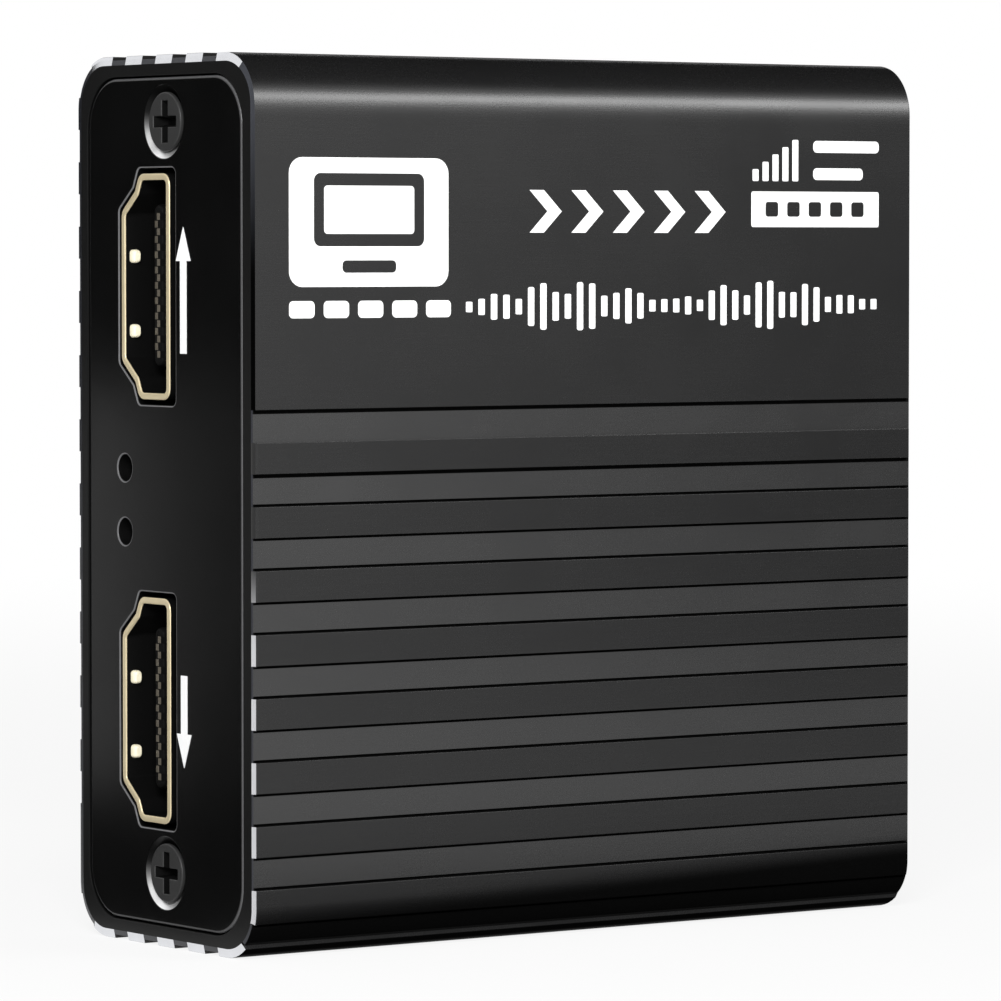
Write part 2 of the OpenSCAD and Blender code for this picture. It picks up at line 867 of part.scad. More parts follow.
// A contact that lies along X and turns through the board at its inner end
module data_contact(y, side, z, w, pin_x, grow) {
    inner = y;
    outer = y + side * (data_contact_t + grow);
    low = mid_z + z - w / 2 - grow;
    high = mid_z + z + w / 2 + grow;
    span([pin_x - grow, min(inner, outer), low], [data_contact_tip_x, max(inner, outer), high]);
    span([pin_x - grow, min(inner, outer), low], [pin_x + data_pin_l + grow, leg_tip_y, high]);
}

module data_contact_set(grow) {
    tongue_low_y = data_tongue_mid_y + data_tongue_h / 2;
    tongue_top_y = data_tongue_mid_y - data_tongue_h / 2;
    for (z = data_pairs) {
        data_contact(tongue_low_y, 1, z, data_contact_w, data_pin_rows[0], grow);
        data_contact(tongue_top_y, -1, z, data_contact_w, data_pin_rows[1], grow);
    }
    for (z = data_upper_places)
        data_contact(data_upper_top_y, 1, z, data_upper_contact_w, data_pin_rows[2], grow);
}

module data_insulator() {
    half = data_w / 2 - data_shell_t - mould_gap;
    back_x = data_back_x + data_shell_t + mould_gap;
    color("royalblue")
        difference() {
            union() {
                difference() {
                    span(
                        [back_x, data_top_y + data_shell_t + mould_gap, mid_z - half],
                        [data_core_face_x, data_low_y, mid_z + half]
                    );
                    along_x(data_mouth_back_x, data_mouth_depth + past)
                        translate([0, mid_z])
                            data_mouth_outline();
                }
                span(
                    [
                        data_mouth_back_x - past,
                        data_tongue_mid_y - data_tongue_h / 2,
                        mid_z - data_tongue_w / 2
                    ],
                    [data_tongue_tip_x, data_tongue_mid_y + data_tongue_h / 2, mid_z + data_tongue_w / 2]
                );
            }
            data_contact_set(mould_gap);
        }
}

module data_contacts() {
    color("gold")
        data_contact_set(0);
}

// A side-looking lamp with a round lens towards its hole
module lamp(z) {
    lens_y = board_face_y - lamp_h / 2;
    span(
        [lamp_x, board_face_y - lamp_h, z - lamp_w / 2],
        [lamp_x + lamp_l, board_face_y, z + lamp_w / 2]
    );
    translate([lamp_x, lens_y, z])
        sphere(lamp_lens_r);
}

module signal_led() {
    color("lightgreen")
        lamp(signal_lamp_z);
}

module power_led() {
    color("salmon")
        lamp(power_lamp_z);
}

module board_box(x, z, l, w, h) {
    span([x - l / 2, board_face_y - h, z - w / 2], [x + l / 2, board_face_y, z + w / 2]);
}

// Leads along the two sides of a chip that face along X
module lead_rows(l, count, pitch) {
    for (side = [-1, 1], n = [0:count - 1]) {
        tip = side * (l / 2 + lead_reach);
        root = side * (l / 2 - lead_reach);
        z = (n - (count - 1) / 2) * pitch - lead_w / 2;
        span([min(tip, root), -lead_t, z], [max(tip, root), 0, z + lead_w]);
    }
}

module chip_body(l, w, h) {
    span([-l / 2, -chip_standoff - h, -w / 2], [l / 2, -chip_standoff, w / 2]);
}

module square_chip(z, side) {
    count = floor((side - lead_reach) / lead_pitch);
    translate([chip_x, board_face_y, z]) {
        chip_body(side, side, chip_h);
        lead_rows(side, count, lead_pitch);
        rotate([0, 90, 0])
            lead_rows(side, count, lead_pitch);
    }
}

module capture_chip() {
    color("darkslategray")
        square_chip(capture_z, capture_side);
}

module splitter_chip() {
    color("darkslategray")
        square_chip(splitter_z, splitter_side);
}

module flash_chip() {
    color("darkslategray")
        translate([shelf_x - coil_spacing - flash_l, board_face_y, shelf_high_z]) {
            chip_body(flash_l, flash_w, flash_h);
            lead_rows(flash_l, flash_leads, flash_pitch);
        }
}

module crystal() {
    x = shelf_x - bulk_spacing - regulator_l;
    color("silver") {
        board_box(x, crystal_z, crystal_l, crystal_w, crystal_h / 2);
        board_box(x, crystal_z, crystal_l - 2 * crystal_rim, crystal_w - 2 * crystal_rim, crystal_h);
    }
}

module coils() {
    color("slategray")
        for (n = [0:coil_count - 1])
            translate([shelf_x, board_face_y, shelf_high_z + n * coil_spacing])
                rotate([90, 0, 0])
                    linear_extrude(coil_h)
                        round_rect(coil_side, coil_side, coil_r);
}

module regulator() {
    x = shelf_x - regulator_l / 2;
    z = crystal_z;
    tip = z - regulator_w / 2 - regulator_lead_l;
    color("darkslategray") {
        board_box(x, z, regulator_l, regulator_w, regulator_h);
        span(
            [x - regulator_tab_w / 2, board_face_y - lead_t, z],
            [x + regulator_tab_w / 2, board_face_y, z + regulator_w / 2 + regulator_lead_l]
        );
        for (n = [-1:1])
            span(
                [x + n * regulator_pitch - regulator_lead_w / 2, board_face_y - lead_t, tip],
                [x + n * regulator_pitch + regulator_lead_w / 2, board_face_y, z]
            );
    }
}

module bulk_capacitors() {
    color("peru")
        for (n = [0, 1])
            board_box(shelf_x - n * bulk_spacing, shelf_low_z + bulk_w / 2, bulk_l, bulk_w, bulk_h);
}

module ceramic_capacitors() {
    middle = (ceramic_count - 1) / 2;
    color("tan")
        for (end = [-1, 1], n = [0:ceramic_count - 1])
            board_box(
                chip_x + (n - middle) * ceramic_pitch,
                mid_z + end * (chip_spacing / 2 + capture_side / 2 + lead_reach + ceramic_pitch),
                ceramic_l,
                ceramic_w,
                ceramic_h
            );
}

module thermal_pad() {
    color("lightsteelblue")
        span(
            [chip_x - pad_side / 2, board_back_y, capture_z - pad_side / 2],
            [chip_x + pad_side / 2, board_back_y + board_back_gap - pad_gap, capture_z + pad_side / 2]
        );
}

sleeve();
front_plate();
rear_plate();
front_screws();
rear_screws();
circuit_board();
output_shell();
output_insulator();
output_contacts();
input_shell();
input_insulator();
input_contacts();
data_shell();
data_insulator();
data_contacts();
signal_led();
power_led();
capture_chip();
splitter_chip();
flash_chip();
crystal();
coils();
regulator();
bulk_capacitors();
ceramic_capacitors();
thermal_pad();
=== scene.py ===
import math
from functools import partial

import bmesh
import bpy
from mathutils import Matrix, Vector
from mathutils.geometry import tessellate_polygon


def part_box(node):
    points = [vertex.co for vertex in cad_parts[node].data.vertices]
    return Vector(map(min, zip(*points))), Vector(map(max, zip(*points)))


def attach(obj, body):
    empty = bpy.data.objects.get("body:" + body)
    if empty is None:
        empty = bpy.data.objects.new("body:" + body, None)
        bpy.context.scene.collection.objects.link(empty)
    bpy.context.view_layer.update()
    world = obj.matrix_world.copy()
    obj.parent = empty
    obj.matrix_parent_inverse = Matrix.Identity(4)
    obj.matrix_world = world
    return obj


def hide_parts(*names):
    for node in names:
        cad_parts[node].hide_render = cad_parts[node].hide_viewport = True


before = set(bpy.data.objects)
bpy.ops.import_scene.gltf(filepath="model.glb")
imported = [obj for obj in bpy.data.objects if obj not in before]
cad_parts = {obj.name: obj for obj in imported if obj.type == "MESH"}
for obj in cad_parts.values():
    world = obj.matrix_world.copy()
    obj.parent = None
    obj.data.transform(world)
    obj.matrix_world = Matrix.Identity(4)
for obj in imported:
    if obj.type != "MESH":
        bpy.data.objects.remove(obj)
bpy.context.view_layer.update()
mm = 0.001  # every size below is written in millimetres
print("frame:", len(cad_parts), "nodes")


# Shader graphs: a wire is one output socket, and sums on wires add Math nodes
class Wire:
    def __init__(self, graph, socket):
        self.graph = graph
        self.socket = socket

    def sum(self, operation, first, second):
        return self.graph.node("Math", {"operation": operation}, {0: first, 1: second})

    def __add__(self, other):
        return self.sum("ADD", self, other)

    __radd__ = __add__

    def __sub__(self, other):
        return self.sum("SUBTRACT", self, other)

    def __rsub__(self, other):
        return self.sum("SUBTRACT", other, self)

    def __mul__(self, other):
        return self.sum("MULTIPLY", self, other)

    __rmul__ = __mul__


class Graph:
    def __init__(self, tree):
        self.tree = tree

    def feed(self, socket, value):
        if isinstance(value, Wire):
            self.tree.links.new(value.socket, socket)
        else:
            socket.default_value = value

    def node(self, kind, settings=None, links=None, out=0):
        made = self.tree.nodes.new("ShaderNode" + kind)
        for name, value in (settings or {}).items():
            setattr(made, name, value)
        for socket, value in (links or {}).items():
            self.feed(made.inputs[socket], value)
        return Wire(self, made.outputs[out])

    def ease(self, value, low, high):  # 0 below low, 1 above high, smooth between
        settings = {"interpolation_type": "SMOOTHSTEP"}
        return self.node("MapRange", settings, {"Value": value, "From Min": low, "From Max": high})

    def blend(self, mask, first, second):
        return self.node("Mix", {"data_type": "RGBA"}, {0: mask, 6: first, 7: second}, out=2)


class Finish(Graph):
    def __init__(self, name, sockets):
        self.material = bpy.data.materials.new(name)
        self.material.use_nodes = True
        super().__init__(self.material.node_tree)
        self.shader = self.tree.nodes["Principled BSDF"]
        self.wear(sockets)
        self.place = self.node("TexCoord", out="Object")

    def wear(self, sockets):
        for name, value in sockets.items():
            self.feed(self.shader.inputs[name], value)

    def noise(self, grain, detail=2.0, stretch=(1, 1, 1)):  # grain is the size of one spot
        place = self.node("Mapping", {}, {"Vector": self.place, "Scale": stretch})
        return self.node("TexNoise", {}, {"Vector": place, "Scale": 1 / (grain * mm), "Detail": detail})

    def along(self, axis):  # place along one axis of the object
        return self.node("SeparateXYZ", {}, {"Vector": self.place}, out=axis)

    def rise(self, place, span):  # from 0 to 1 over a span of places
        return self.ease(place, span[0] * mm, span[1] * mm)

    def mark(self, name):  # a value stored on the piece's own points
        return self.node("Attribute", {"attribute_name": name}, out="Fac")

    def rough(self, level, *drifts):  # a level that drifts with some patterns, each about its middle
        for pattern, share in drifts:
            level = level + (pattern - 0.5) * share
        self.wear({"Roughness": level})

    def bump(self, height, depth):
        links = {"Height": height, "Distance": depth * mm, "Strength": 1.0}
        self.wear({"Normal": self.node("Bump", {}, links)})

    def cover(self, mask, other):  # another shader over this one, where the mask says so
        plain = Wire(self, self.shader.outputs[0])
        mixed = self.node("MixShader", {}, {0: mask, 1: plain, 2: other})
        self.feed(self.tree.nodes["Material Output"].inputs["Surface"], mixed)


def grey(value, tint=(1, 1, 1)):
    return (value * tint[0], value * tint[1], value * tint[2], 1)


def shine(level):
    return {"Specular IOR Level": level}


# A satin finish with fine grain, cloudy roughness and a tone that drifts a little
def satinFinish(name, light, dark, rough, grain, depth, sockets=None):
    finish = Finish(name, sockets or {})
    spots = finish.noise(grain, 3)
    clouds = finish.noise(grain * 60, 4)
    finish.wear({"Base Color": finish.blend(clouds * 0.6 + spots * 0.4, dark, light)})
    finish.rough(rough, (clouds, 0.12), (spots, 0.06))
    finish.bump(spots, depth)
    return finish.material


# Black anodised aluminium, faintly drawn along its length and a little worn along the rib edges
# Painted shade: the foot of the label side is covered with a matte near-black, but for one lighter line along
# the step at its edge
anodised = {
    "spot": 0.09,
    "drawnLine": 0.07,
    "cloud": 7,
    "worn": (0.75, 1.25),  # grain and clouds together, where wear starts and where it is full
    "wornShare": 0.08,
    "wornTone": 0.06,
    "drawn": (0.45, 0.8),
    "drawnShare": 0.15,
    "drawnTone": 2.5,  # times the plain tone
    "rough": 0.27,
    "depth": 0.004,
    "footSlope": 0.035,  # how much the painted shade at the foot climbs along the length
    "footFade": (2.8, 4.5),
    "footSide": (-9, -6),
    "lineFrom": (0.72, 0.78),
    "lineTo": (0.95, 1.04),
}


def anodisedFinish(name, tone, level):
    finish = Finish(name, shine(level))
    spots = finish.noise(anodised["spot"], 3)
    drawn = finish.noise(anodised["drawnLine"], 2, (0.02, 1, 1))
    clouds = finish.noise(anodised["cloud"], 4)
    worn = finish.mark("edge") * finish.ease(spots + clouds, *anodised["worn"])
    lines = finish.ease(drawn, *anodised["drawn"])
    colour = finish.blend(worn * anodised["wornShare"], grey(tone, (1, 1, 1.02)), grey(anodised["wornTone"]))
    colour = finish.blend(lines * anodised["drawnShare"], colour, grey(anodised["drawnTone"] * tone))
    finish.wear({"Base Color": colour})
    finish.rough(anodised["rough"], (clouds, 0.08), (spots, 0.05))
    finish.bump(spots * 0.7 + drawn * 0.3, anodised["depth"])
    # Painted shade at the foot of the label side: it fades out upwards and towards the back, and leaves out
    # the line at the step
    height = finish.along("Z")
    climb = height - finish.along("X") * anodised["footSlope"]
    line = finish.rise(height, anodised["lineFrom"]) * (1 - finish.rise(height, anodised["lineTo"]))
    foot = (1 - line) * (1 - finish.rise(climb, anodised["footFade"]))
    foot = foot * (1 - finish.rise(finish.along("Y"), anodised["footSide"]))
    paintedFootShade = finish.node("BsdfDiffuse", {}, {"Color": finish.blend(spots, grey(0.001), grey(0.003))})
    finish.cover(foot, paintedFootShade)
    return finish.material


# The cut ends on the label side, with painted light and shade: one tone low down, which turns into another
# further up
def paintedLightCutFinish(name, turning, low, high, level):
    finish = Finish(name, shine(level))
    lines = finish.noise(0.03, 2, (1, 1, 0.1))
    finish.wear({"Base Color": finish.blend(finish.rise(finish.along("Z"), turning), low, high)})
    finish.rough(0.42, (lines, 0.1))
    finish.bump(lines, 0.0005)
    return finish.material


# Satin black panels, with a painted highlight in a lighter colour along their eased edges
def panelFinish():
    finish = Finish("panelBlack", shine(0.16))
    spots = finish.noise(0.08, 3)
    clouds = finish.noise(5, 4)
    tone = finish.blend(clouds, grey(0.0015), grey(0.003))
    edgeHighlight = finish.mark("edge") * (0.6 + spots * 0.5)
    finish.wear({"Base Color": finish.blend(edgeHighlight, tone, grey(0.15, (1, 1, 1.03)))})
    finish.rough(0.23, (clouds, 0.08), (spots, 0.05))
    finish.bump(spots, 0.003)
    return finish.material


# Countersinks: black, with a painted highlight of bright metal on one side, where the mark on the points says
# so
def sinkFinish():
    finish = Finish("sinkCut", shine(0.12))
    lines = finish.noise(0.03, 2, (0.1, 1, 1))
    paintedGlint = finish.mark("paintedGlint")
    finish.wear({"Base Color": finish.blend(paintedGlint, grey(0.002), grey(0.9)), "Metallic": paintedGlint * 0.8})
    finish.rough(0.34, (lines, 0.14))
    finish.bump(lines, 0.002)
    return finish.material


# Plated or bare metal with fine drawn lines
def metalFinish(name, colour, rough, metallic=1.0, depth=0.002):
    finish = Finish(name, {"Metallic": metallic})
    lines = finish.noise(0.03, 2, (1, 1, 0.1))
    clouds = finish.noise(1.5, 3)
    finish.wear({"Base Color": finish.blend(clouds, grey(0.86, colour), grey(0.97, colour))})
    finish.rough(rough, (lines, 0.12))
    finish.bump(lines, depth)
    return finish.material


crestAnodised = anodisedFinish("crestAnodised", 0.0068, 0.41)
grooveAnodised = anodisedFinish("grooveAnodised", 0.008, 0.8)
panelBlack = panelFinish()
sinkCut = sinkFinish()
# painted highlight low on the label side's rib ends and painted shade higher up; painted reflection on the
# label panel's bevel, black below and blue-grey above
sideCutPaintedLight = paintedLightCutFinish("sideCutPaintedLight", (19.5, 26), grey(0.41, (1, 1, 1.03)), grey(0.012), 0.6)
panelCutPaintedLight = paintedLightCutFinish("panelCutPaintedLight", (43.5, 57), grey(0.0003), grey(0.04, (1, 1.05, 1.22)), 0.03)
brightCut = metalFinish("brightCut", (0.82, 0.83, 0.86), 0.14, depth=0.0003)
goldPlate = metalFinish("goldPlate", (0.77, 0.66, 0.43), 0.34, 0.45)
# painted highlight: a pale matte gold for the latch pads
latchHighlightGold = metalFinish("latchHighlightGold", (1.0, 0.93, 0.7), 0.5, 0.0)
goldContact = metalFinish("goldContact", (0.27, 0.22, 0.15), 0.45, 0.5)
# painted shade: a dim copy of the gold contact colour
shadedContact = metalFinish("shadedContact", (0.16, 0.14, 0.11), 0.45, 0.5)
tinPlate = metalFinish("tinPlate", (0.72, 0.72, 0.74), 0.32)
canMetal = metalFinish("canMetal", (0.7, 0.7, 0.68), 0.28)
dull = shine(0.04)
# painted shade: a matte black for notches, recesses, hole walls and the insides of sockets
paintedShadeBlack = satinFinish("paintedShadeBlack", grey(0.0035), grey(0.0015), 0.7, 0.1, 0.003, dull)
endAnodised = satinFinish("endAnodised", grey(0.008), grey(0.0055), 0.36, 0.09, 0.003, shine(0.12))
topAnodised = satinFinish("topAnodised", grey(0.012), grey(0.008), 0.6, 0.09, 0.004, shine(0.06))
# painted shade: a dark blue-grey for the back side's rib ends in place of bright cut metal; the cut ends of
# the grooves take it too
shadedCutAnodised = satinFinish("shadedCutAnodised", (0.014, 0.015, 0.02, 1), (0.01, 0.011, 0.015, 1), 0.3, 0.05, 0.003)
screwBlack = satinFinish("screwBlack", grey(0.033), grey(0.023), 0.4, 0.06, 0.004, shine(0.25))
blackMoulding = satinFinish("blackMoulding", grey(0.005), grey(0.0025), 0.6, 0.1, 0.005, shine(0.06))
blueMoulding = satinFinish("blueMoulding", (0.02, 0.09, 0.42, 1), (0.015, 0.07, 0.34, 1), 0.42, 0.1, 0.005)
printWhite = satinFinish("printWhite", grey(0.9), grey(0.82), 0.5, 0.1, 0.002)
lampResin = satinFinish("lampResin", (0.62, 0.66, 0.6, 1), (0.5, 0.55, 0.48, 1), 0.22, 0.2, 0.003)
boardLaminate = satinFinish("boardLaminate", (0.012, 0.1, 0.04, 1), (0.008, 0.07, 0.028, 1), 0.4, 0.3,
                            0.006)
chipBody = satinFinish("chipBody", grey(0.03), grey(0.018), 0.6, 0.08, 0.006)
coilBody = satinFinish("coilBody", grey(0.1), grey(0.065), 0.6, 0.15, 0.01)
bulkBody = satinFinish("bulkBody", (0.42, 0.24, 0.06, 1), (0.33, 0.18, 0.045, 1), 0.5, 0.15, 0.006)
ceramicBody = satinFinish("ceramicBody", (0.36, 0.27, 0.17, 1), (0.28, 0.21, 0.13, 1), 0.5, 0.12, 0.006)
padSilicone = satinFinish("padSilicone", (0.3, 0.36, 0.45, 1), (0.24, 0.3, 0.38, 1), 0.7, 0.3, 0.01)
print("finishes made")


# Outlines are lists of flat points, and loops are the same points carried into space
innerRound = 0.3


def grown(core, radius, steps=6):  # an outline with round corners; its count of points never changes
    points = []
    for i, corner in enumerate(core):
        here = Vector(corner)
        into = here - Vector(core[i - 1])
        onward = Vector(core[(i + 1) % len(core)]) - here
        start = math.atan2(-into.x, into.y)
        sweep = (math.atan2(-onward.x, onward.y) - start) % math.tau
        reach = radius
        if sweep > math.pi:  # an inner corner turns the other way round a centre outside
            sweep -= math.tau
            middle = start + sweep / 2
            out = (radius + innerRound) / math.cos(sweep / 2)
            here = here + out * Vector((math.cos(middle), math.sin(middle)))
            reach = -innerRound
        for step in range(steps + 1):
            angle = start + sweep * step / steps
            points.append(here + reach * Vector((math.cos(angle), math.sin(angle))))
    return points


def turns(degrees, steps):  # even angles from 0 up to some degrees
    return [math.radians(degrees) * i / steps for i in range(steps + 1)]


def ring(centre, radius, steps=40):
    around = turns(360, steps)[:-1]
    return [Vector((centre[0] + radius * math.cos(a), centre[1] + radius * math.sin(a))) for a in around]


def eased(soft, steps):  # how far a rounded edge stays inside the two faces that it joins
    return [(soft * (1 - math.sin(a)), soft * (1 - math.cos(a))) for a in turns(90, steps)]


def rounded(low, high, soft, steps=6):
    return grown(boxCore(low, high, soft), soft, steps)


def boxCore(low, high, inset=0.0):
    return [
        (low[0] + inset, low[1] + inset),
        (high[0] - inset, low[1] + inset),
        (high[0] - inset, high[1] - inset),
        (low[0] + inset, high[1] - inset),
    ]


def mitred(points, out):  # any outline, moved out along its corners
    moved = []
    for i, corner in enumerate(points):
        here = Vector(corner)
        into = (here - Vector(points[i - 1])).normalized()
        onward = (Vector(points[(i + 1) % len(points)]) - here).normalized()
        first = Vector((into.y, -into.x))
        second = Vector((onward.y, -onward.x))
        moved.append(here + out * (first + second) / (1 + first.dot(second)))
    return moved


def alongX(points, x):
    return [(x, p[0], p[1]) for p in points]


def alongY(points, y):
    return [(p[0], y, p[1]) for p in points]


def alongZ(points, z):
    return [(p[0], p[1], z) for p in points]


def loft(bm, loops, closed=False, finishes=None):
    rings = [[bm.verts.new(p) for p in loop] for loop in loops]
    if closed:
        rings.append(rings[0])
    for span, (first, second) in enumerate(zip(rings, rings[1:])):
        for i in range(len(first)):
            j = i - 1
            face = bm.faces.new((first[j], first[i], second[i], second[j]))
            face.material_index = finishes[span] if finishes else 0
            face.smooth = True
    return rings


def fill(bm, loops, finish=0):  # the flat area inside an outline and outside the holes in it
    spread = [max(p[a] for p in loops[0]) - min(p[a] for p in loops[0]) for a in range(3)]
    kept = [a for a in range(3) if a != spread.index(min(spread))]
    flat = [[Vector((p[kept[0]], p[kept[1]], 0)) for p in loop] for loop in loops]
    verts = [bm.verts.new(p) for loop in loops for p in loop]
    for corners in tessellate_polygon(flat):
        bm.faces.new([verts[i] for i in corners]).material_index = finish


def slab(bm, outlines, carry, start, end, finish=0):  # outlines carried from one plane to another
    fill(bm, [carry(points, start) for points in outlines], finish)
    fill(bm, [carry(points, end) for points in outlines], finish)
    for points in outlines:
        loft(bm, [carry(points, start), carry(points, end)], finishes=[finish])


def capped(bm, loops, finish=0):  # loops closed at both ends
    loft(bm, loops, finishes=[finish] * len(loops))
    fill(bm, [loops[0]], finish)
    fill(bm, [loops[-1]], finish)


def legOutline(x, half, start, tip, taper):  # a flat leg with a tapered tip
    return [(x - half, start), (x + half, start), (x + half, tip - taper),
            (x + half - taper, tip), (x - half + taper, tip), (x - half, tip - taper)]


def lipRound(inner, outer, soft, steps):  # radius and depth from the inside of a rounded lip to its outside
    edge = eased(soft, steps)
    inside = [(inner + inset, depth) for depth, inset in edge]
    return inside + [(outer - inset, depth) for depth, inset in reversed(edge)]


def blunt(radius, nose):  # radius and depth of the loops at a blunt tip
    return [(radius - nose, 0), (radius - 0.4 * nose, 0.25 * nose), (radius, nose)]


def boxMm(node):
    low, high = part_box(node)
    return low / mm, high / mm


def endBox(node):  # the box of a piece at one end, the way inwards there, and the place of its outer face
    low, high = boxMm(node)
    way = 1 if low.x < 0 else -1
    return low, high, way, low.x if way > 0 else high.x


def markDark(bm, test):  # faces that take the second finish in a row of copies
    dark = bm.faces.layers.float.new("dark")
    for face in bm.faces:
        face[dark] = test(face)


def newObject(name, contents):
    made = bpy.data.objects.new(name, contents)
    bpy.context.scene.collection.objects.link(made)
    return made


weld = 0.0004
sharpAngle = math.radians(33)


def makePiece(name, bm, *finishes):
    bmesh.ops.remove_doubles(bm, verts=bm.verts, dist=weld)
    bmesh.ops.recalc_face_normals(bm, faces=bm.faces)
    for edge in bm.edges:  # flat areas keep their own shading
        mixed = len({face.smooth for face in edge.link_faces}) > 1
        edge.smooth = not mixed and edge.calc_face_angle(0) < sharpAngle
    mesh = bpy.data.meshes.new(name)
    bm.to_mesh(mesh)
    bm.free()
    mesh.transform(Matrix.Scale(mm, 4))
    for finish in finishes:
        mesh.materials.append(finish)
    piece = newObject(name, mesh)
    shading = piece.modifiers.new("evenShading", "WEIGHTED_NORMAL")
    shading.keep_sharp = True
    return piece


def settle(piece, slot, *nodes, move=None):  # modifiers become plain mesh, then the piece joins the frame
    evaluated = piece.evaluated_get(bpy.context.evaluated_depsgraph_get())
    mesh = bpy.data.meshes.new_from_object(evaluated)
    if move:
        mesh.transform(Matrix.Translation(move))
    piece.modifiers.clear()
    piece.data = mesh
    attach(piece, "root")
    if nodes:
        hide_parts(*nodes)
    print("made", piece.name, len(mesh.polygons), "faces")
    return piece


# Geometry nodes: each tree puts copies of a piece along a line
class Tree:
    def __init__(self, name, *extra):
        self.tree = bpy.data.node_groups.new(name, "GeometryNodeTree")
        self.sockets = {}
        inputs = {"Piece": "Geometry", "Count": "Int", "Step": "Vector"}
        inputs.update({label: "Float" for label in extra})
        inputs.update({"Finish": "Material", "Dark finish": "Material"})
        for label, kind in inputs.items():
            made = self.tree.interface.new_socket(label, in_out="INPUT", socket_type="NodeSocket" + kind)
            self.sockets[label] = made.identifier
        self.tree.interface.new_socket("Result", in_out="OUTPUT", socket_type="NodeSocketGeometry")
        self.start = self.tree.nodes.new("NodeGroupInput")
        self.end = self.tree.nodes.new("NodeGroupOutput")

    def node(self, kind, links=None, out=0, **settings):
        made = self.tree.nodes.new(kind)
        for name, value in settings.items():
            setattr(made, name, value)
        for socket, value in (links or {}).items():
            if hasattr(value, "is_linked"):
                self.tree.links.new(value, made.inputs[socket])
            else:
                made.inputs[socket].default_value = value
        return made.outputs[out]

    def value(self, label):
        return self.start.outputs[label]

    def maths(self, operation, first, second=0.0):
        return self.node("ShaderNodeMath", {0: first, 1: second}, operation=operation)

    def copies(self, scale=(1, 1, 1)):  # made solid, then painted; faces marked dark take the second finish
        line = self.node("GeometryNodeMeshLine", {"Count": self.value("Count"), "Offset": self.value("Step")})
        links = {"Points": line, "Instance": self.value("Piece"), "Scale": scale}
        solid = self.node("GeometryNodeRealizeInstances", {
            "Geometry": self.node("GeometryNodeInstanceOnPoints", links)})
        plain = self.node("GeometryNodeSetMaterial", {"Geometry": solid, "Material": self.value("Finish")})
        dark = self.node("GeometryNodeInputNamedAttribute", {"Name": "dark"}, data_type="FLOAT")
        links = {"Geometry": plain, "Selection": dark, "Material": self.value("Dark finish")}
        self.tree.links.new(self.node("GeometryNodeSetMaterial", links), self.end.inputs["Result"])

    def put(self, piece, values):
        row = piece.modifiers.new(self.tree.name, "NODES")
        row.node_group = self.tree
        for label, value in values.items():
            row[self.sockets[label]] = value
        return piece


def rowTree():
    tree = Tree("rowOfPieces")
    tree.copies()
    return tree


def waveTree():  # copies whose heights swell and fade along the line
    tree = Tree("waveOfBars", "Least", "Turn", "Slow turn")
    place = tree.node("GeometryNodeInputIndex")
    quick = tree.maths("SINE", tree.maths("MULTIPLY", place, tree.value("Turn")))
    slow = tree.maths("SINE", tree.maths("MULTIPLY", place, tree.value("Slow turn")))
    swell = tree.maths("MULTIPLY", tree.maths("ABSOLUTE", quick), tree.maths("ABSOLUTE", slow))
    spare = tree.maths("SUBTRACT", 1.0, tree.value("Least"))
    tall = tree.maths("ADD", tree.value("Least"), tree.maths("MULTIPLY", swell, spare))
    tree.copies(tree.node("ShaderNodeCombineXYZ", {"X": 1.0, "Y": 1.0, "Z": tall}))
    return tree


rowOfPieces = rowTree()
waveOfBars = waveTree()


def inRow(piece, count, step, finish, darkFinish, tree=rowOfPieces, extra=None):
    values = {"Count": count, "Step": [value * mm for value in step], **(extra or {})}
    return tree.put(piece, {**values, "Finish": finish, "Dark finish": darkFinish})


# The ribbed sleeve
sleeve = {
    "corner": 3.4,
    "ribDepth": 0.25,
    "edgeRound": 0.025,
    "crestSteps": 8,  # points across a crest, so that it can follow a body corner
    "labelPitch": 4.09,
    "labelRibHeight": 2.0,
    "labelRibs": 8,
    "backPitch": 4.27,
    "backRibHeight": 2.13,
    "backRibs": 12,
    "narrowPitch": 3.67,
    "narrowRibWidth": 2.0,
    "faceGap": 2.6,
    "narrowGap": 1.75,
    "labelSink": 0.03,  # the printed panel lies this far under the ribs
    "notch": 0.17,  # width of the notch along the foot of a rib, painted black as a line of shade
    "wideNotch": 0.26,
    "notchDepth": 0.3,
    "notchStart": 0.34,  # how far in from the end of the sleeve it starts
    # the end bevels: how far in from the end, and the height over the floor between ribs
    "bevel": ((0, -0.33), (0.07, 0.0), (0.111, 0.2), (0.13, 0.235), (0.16, 0.25)),
    "farBevel": ((0, -0.33), (0.09, 0.0), (0.24, 0.2), (0.27, 0.235), (0.3, 0.25)),
    "lowRibExtra": 0.2,  # the lowest label rib reaches this much further round the corner
    "footExtra": 0.45,  # and so does the rib under it
    "turnRamp": 2.0,  # the label panel bends more and more over this far before its turn is round
    "turnSteps": 44,
    "labelRim": 0.23,  # how much lower the end bevel is on the label side
    "brightTurn": 36,  # degrees from the top to where the label panel's bevel turns dark, in painted shade
    "topHalf": 8.0,  # the top is duller out to this far each side of its middle
    "mouthWall": 1.1,
    "mouthEase": 0.07,
    "pocketCorner": 3.4,
    "ledge": 0.6,
    "hollowCorner": 1.6,
    "bossRadius": 2.3,
    "boreRadius": 1.3,
    "slotWall": 1.0,
    "slotGap": 0.1,
    "slotDepth": 1.6,
}
bodyLow, bodyHigh = boxMm("sleeve")
plateLow, plateHigh = boxMm("front_plate")
boardLow, boardHigh = boxMm("circuit_board")
screwLow, screwHigh = boxMm("front_screws")
coreY = bodyHigh.y - sleeve["corner"]
coreLow = bodyLow.z + sleeve["corner"]
coreHigh = bodyHigh.z - sleeve["corner"]
floorRadius = sleeve["corner"] - sleeve["ribDepth"]
middleZ = (bodyLow.z + bodyHigh.z) / 2
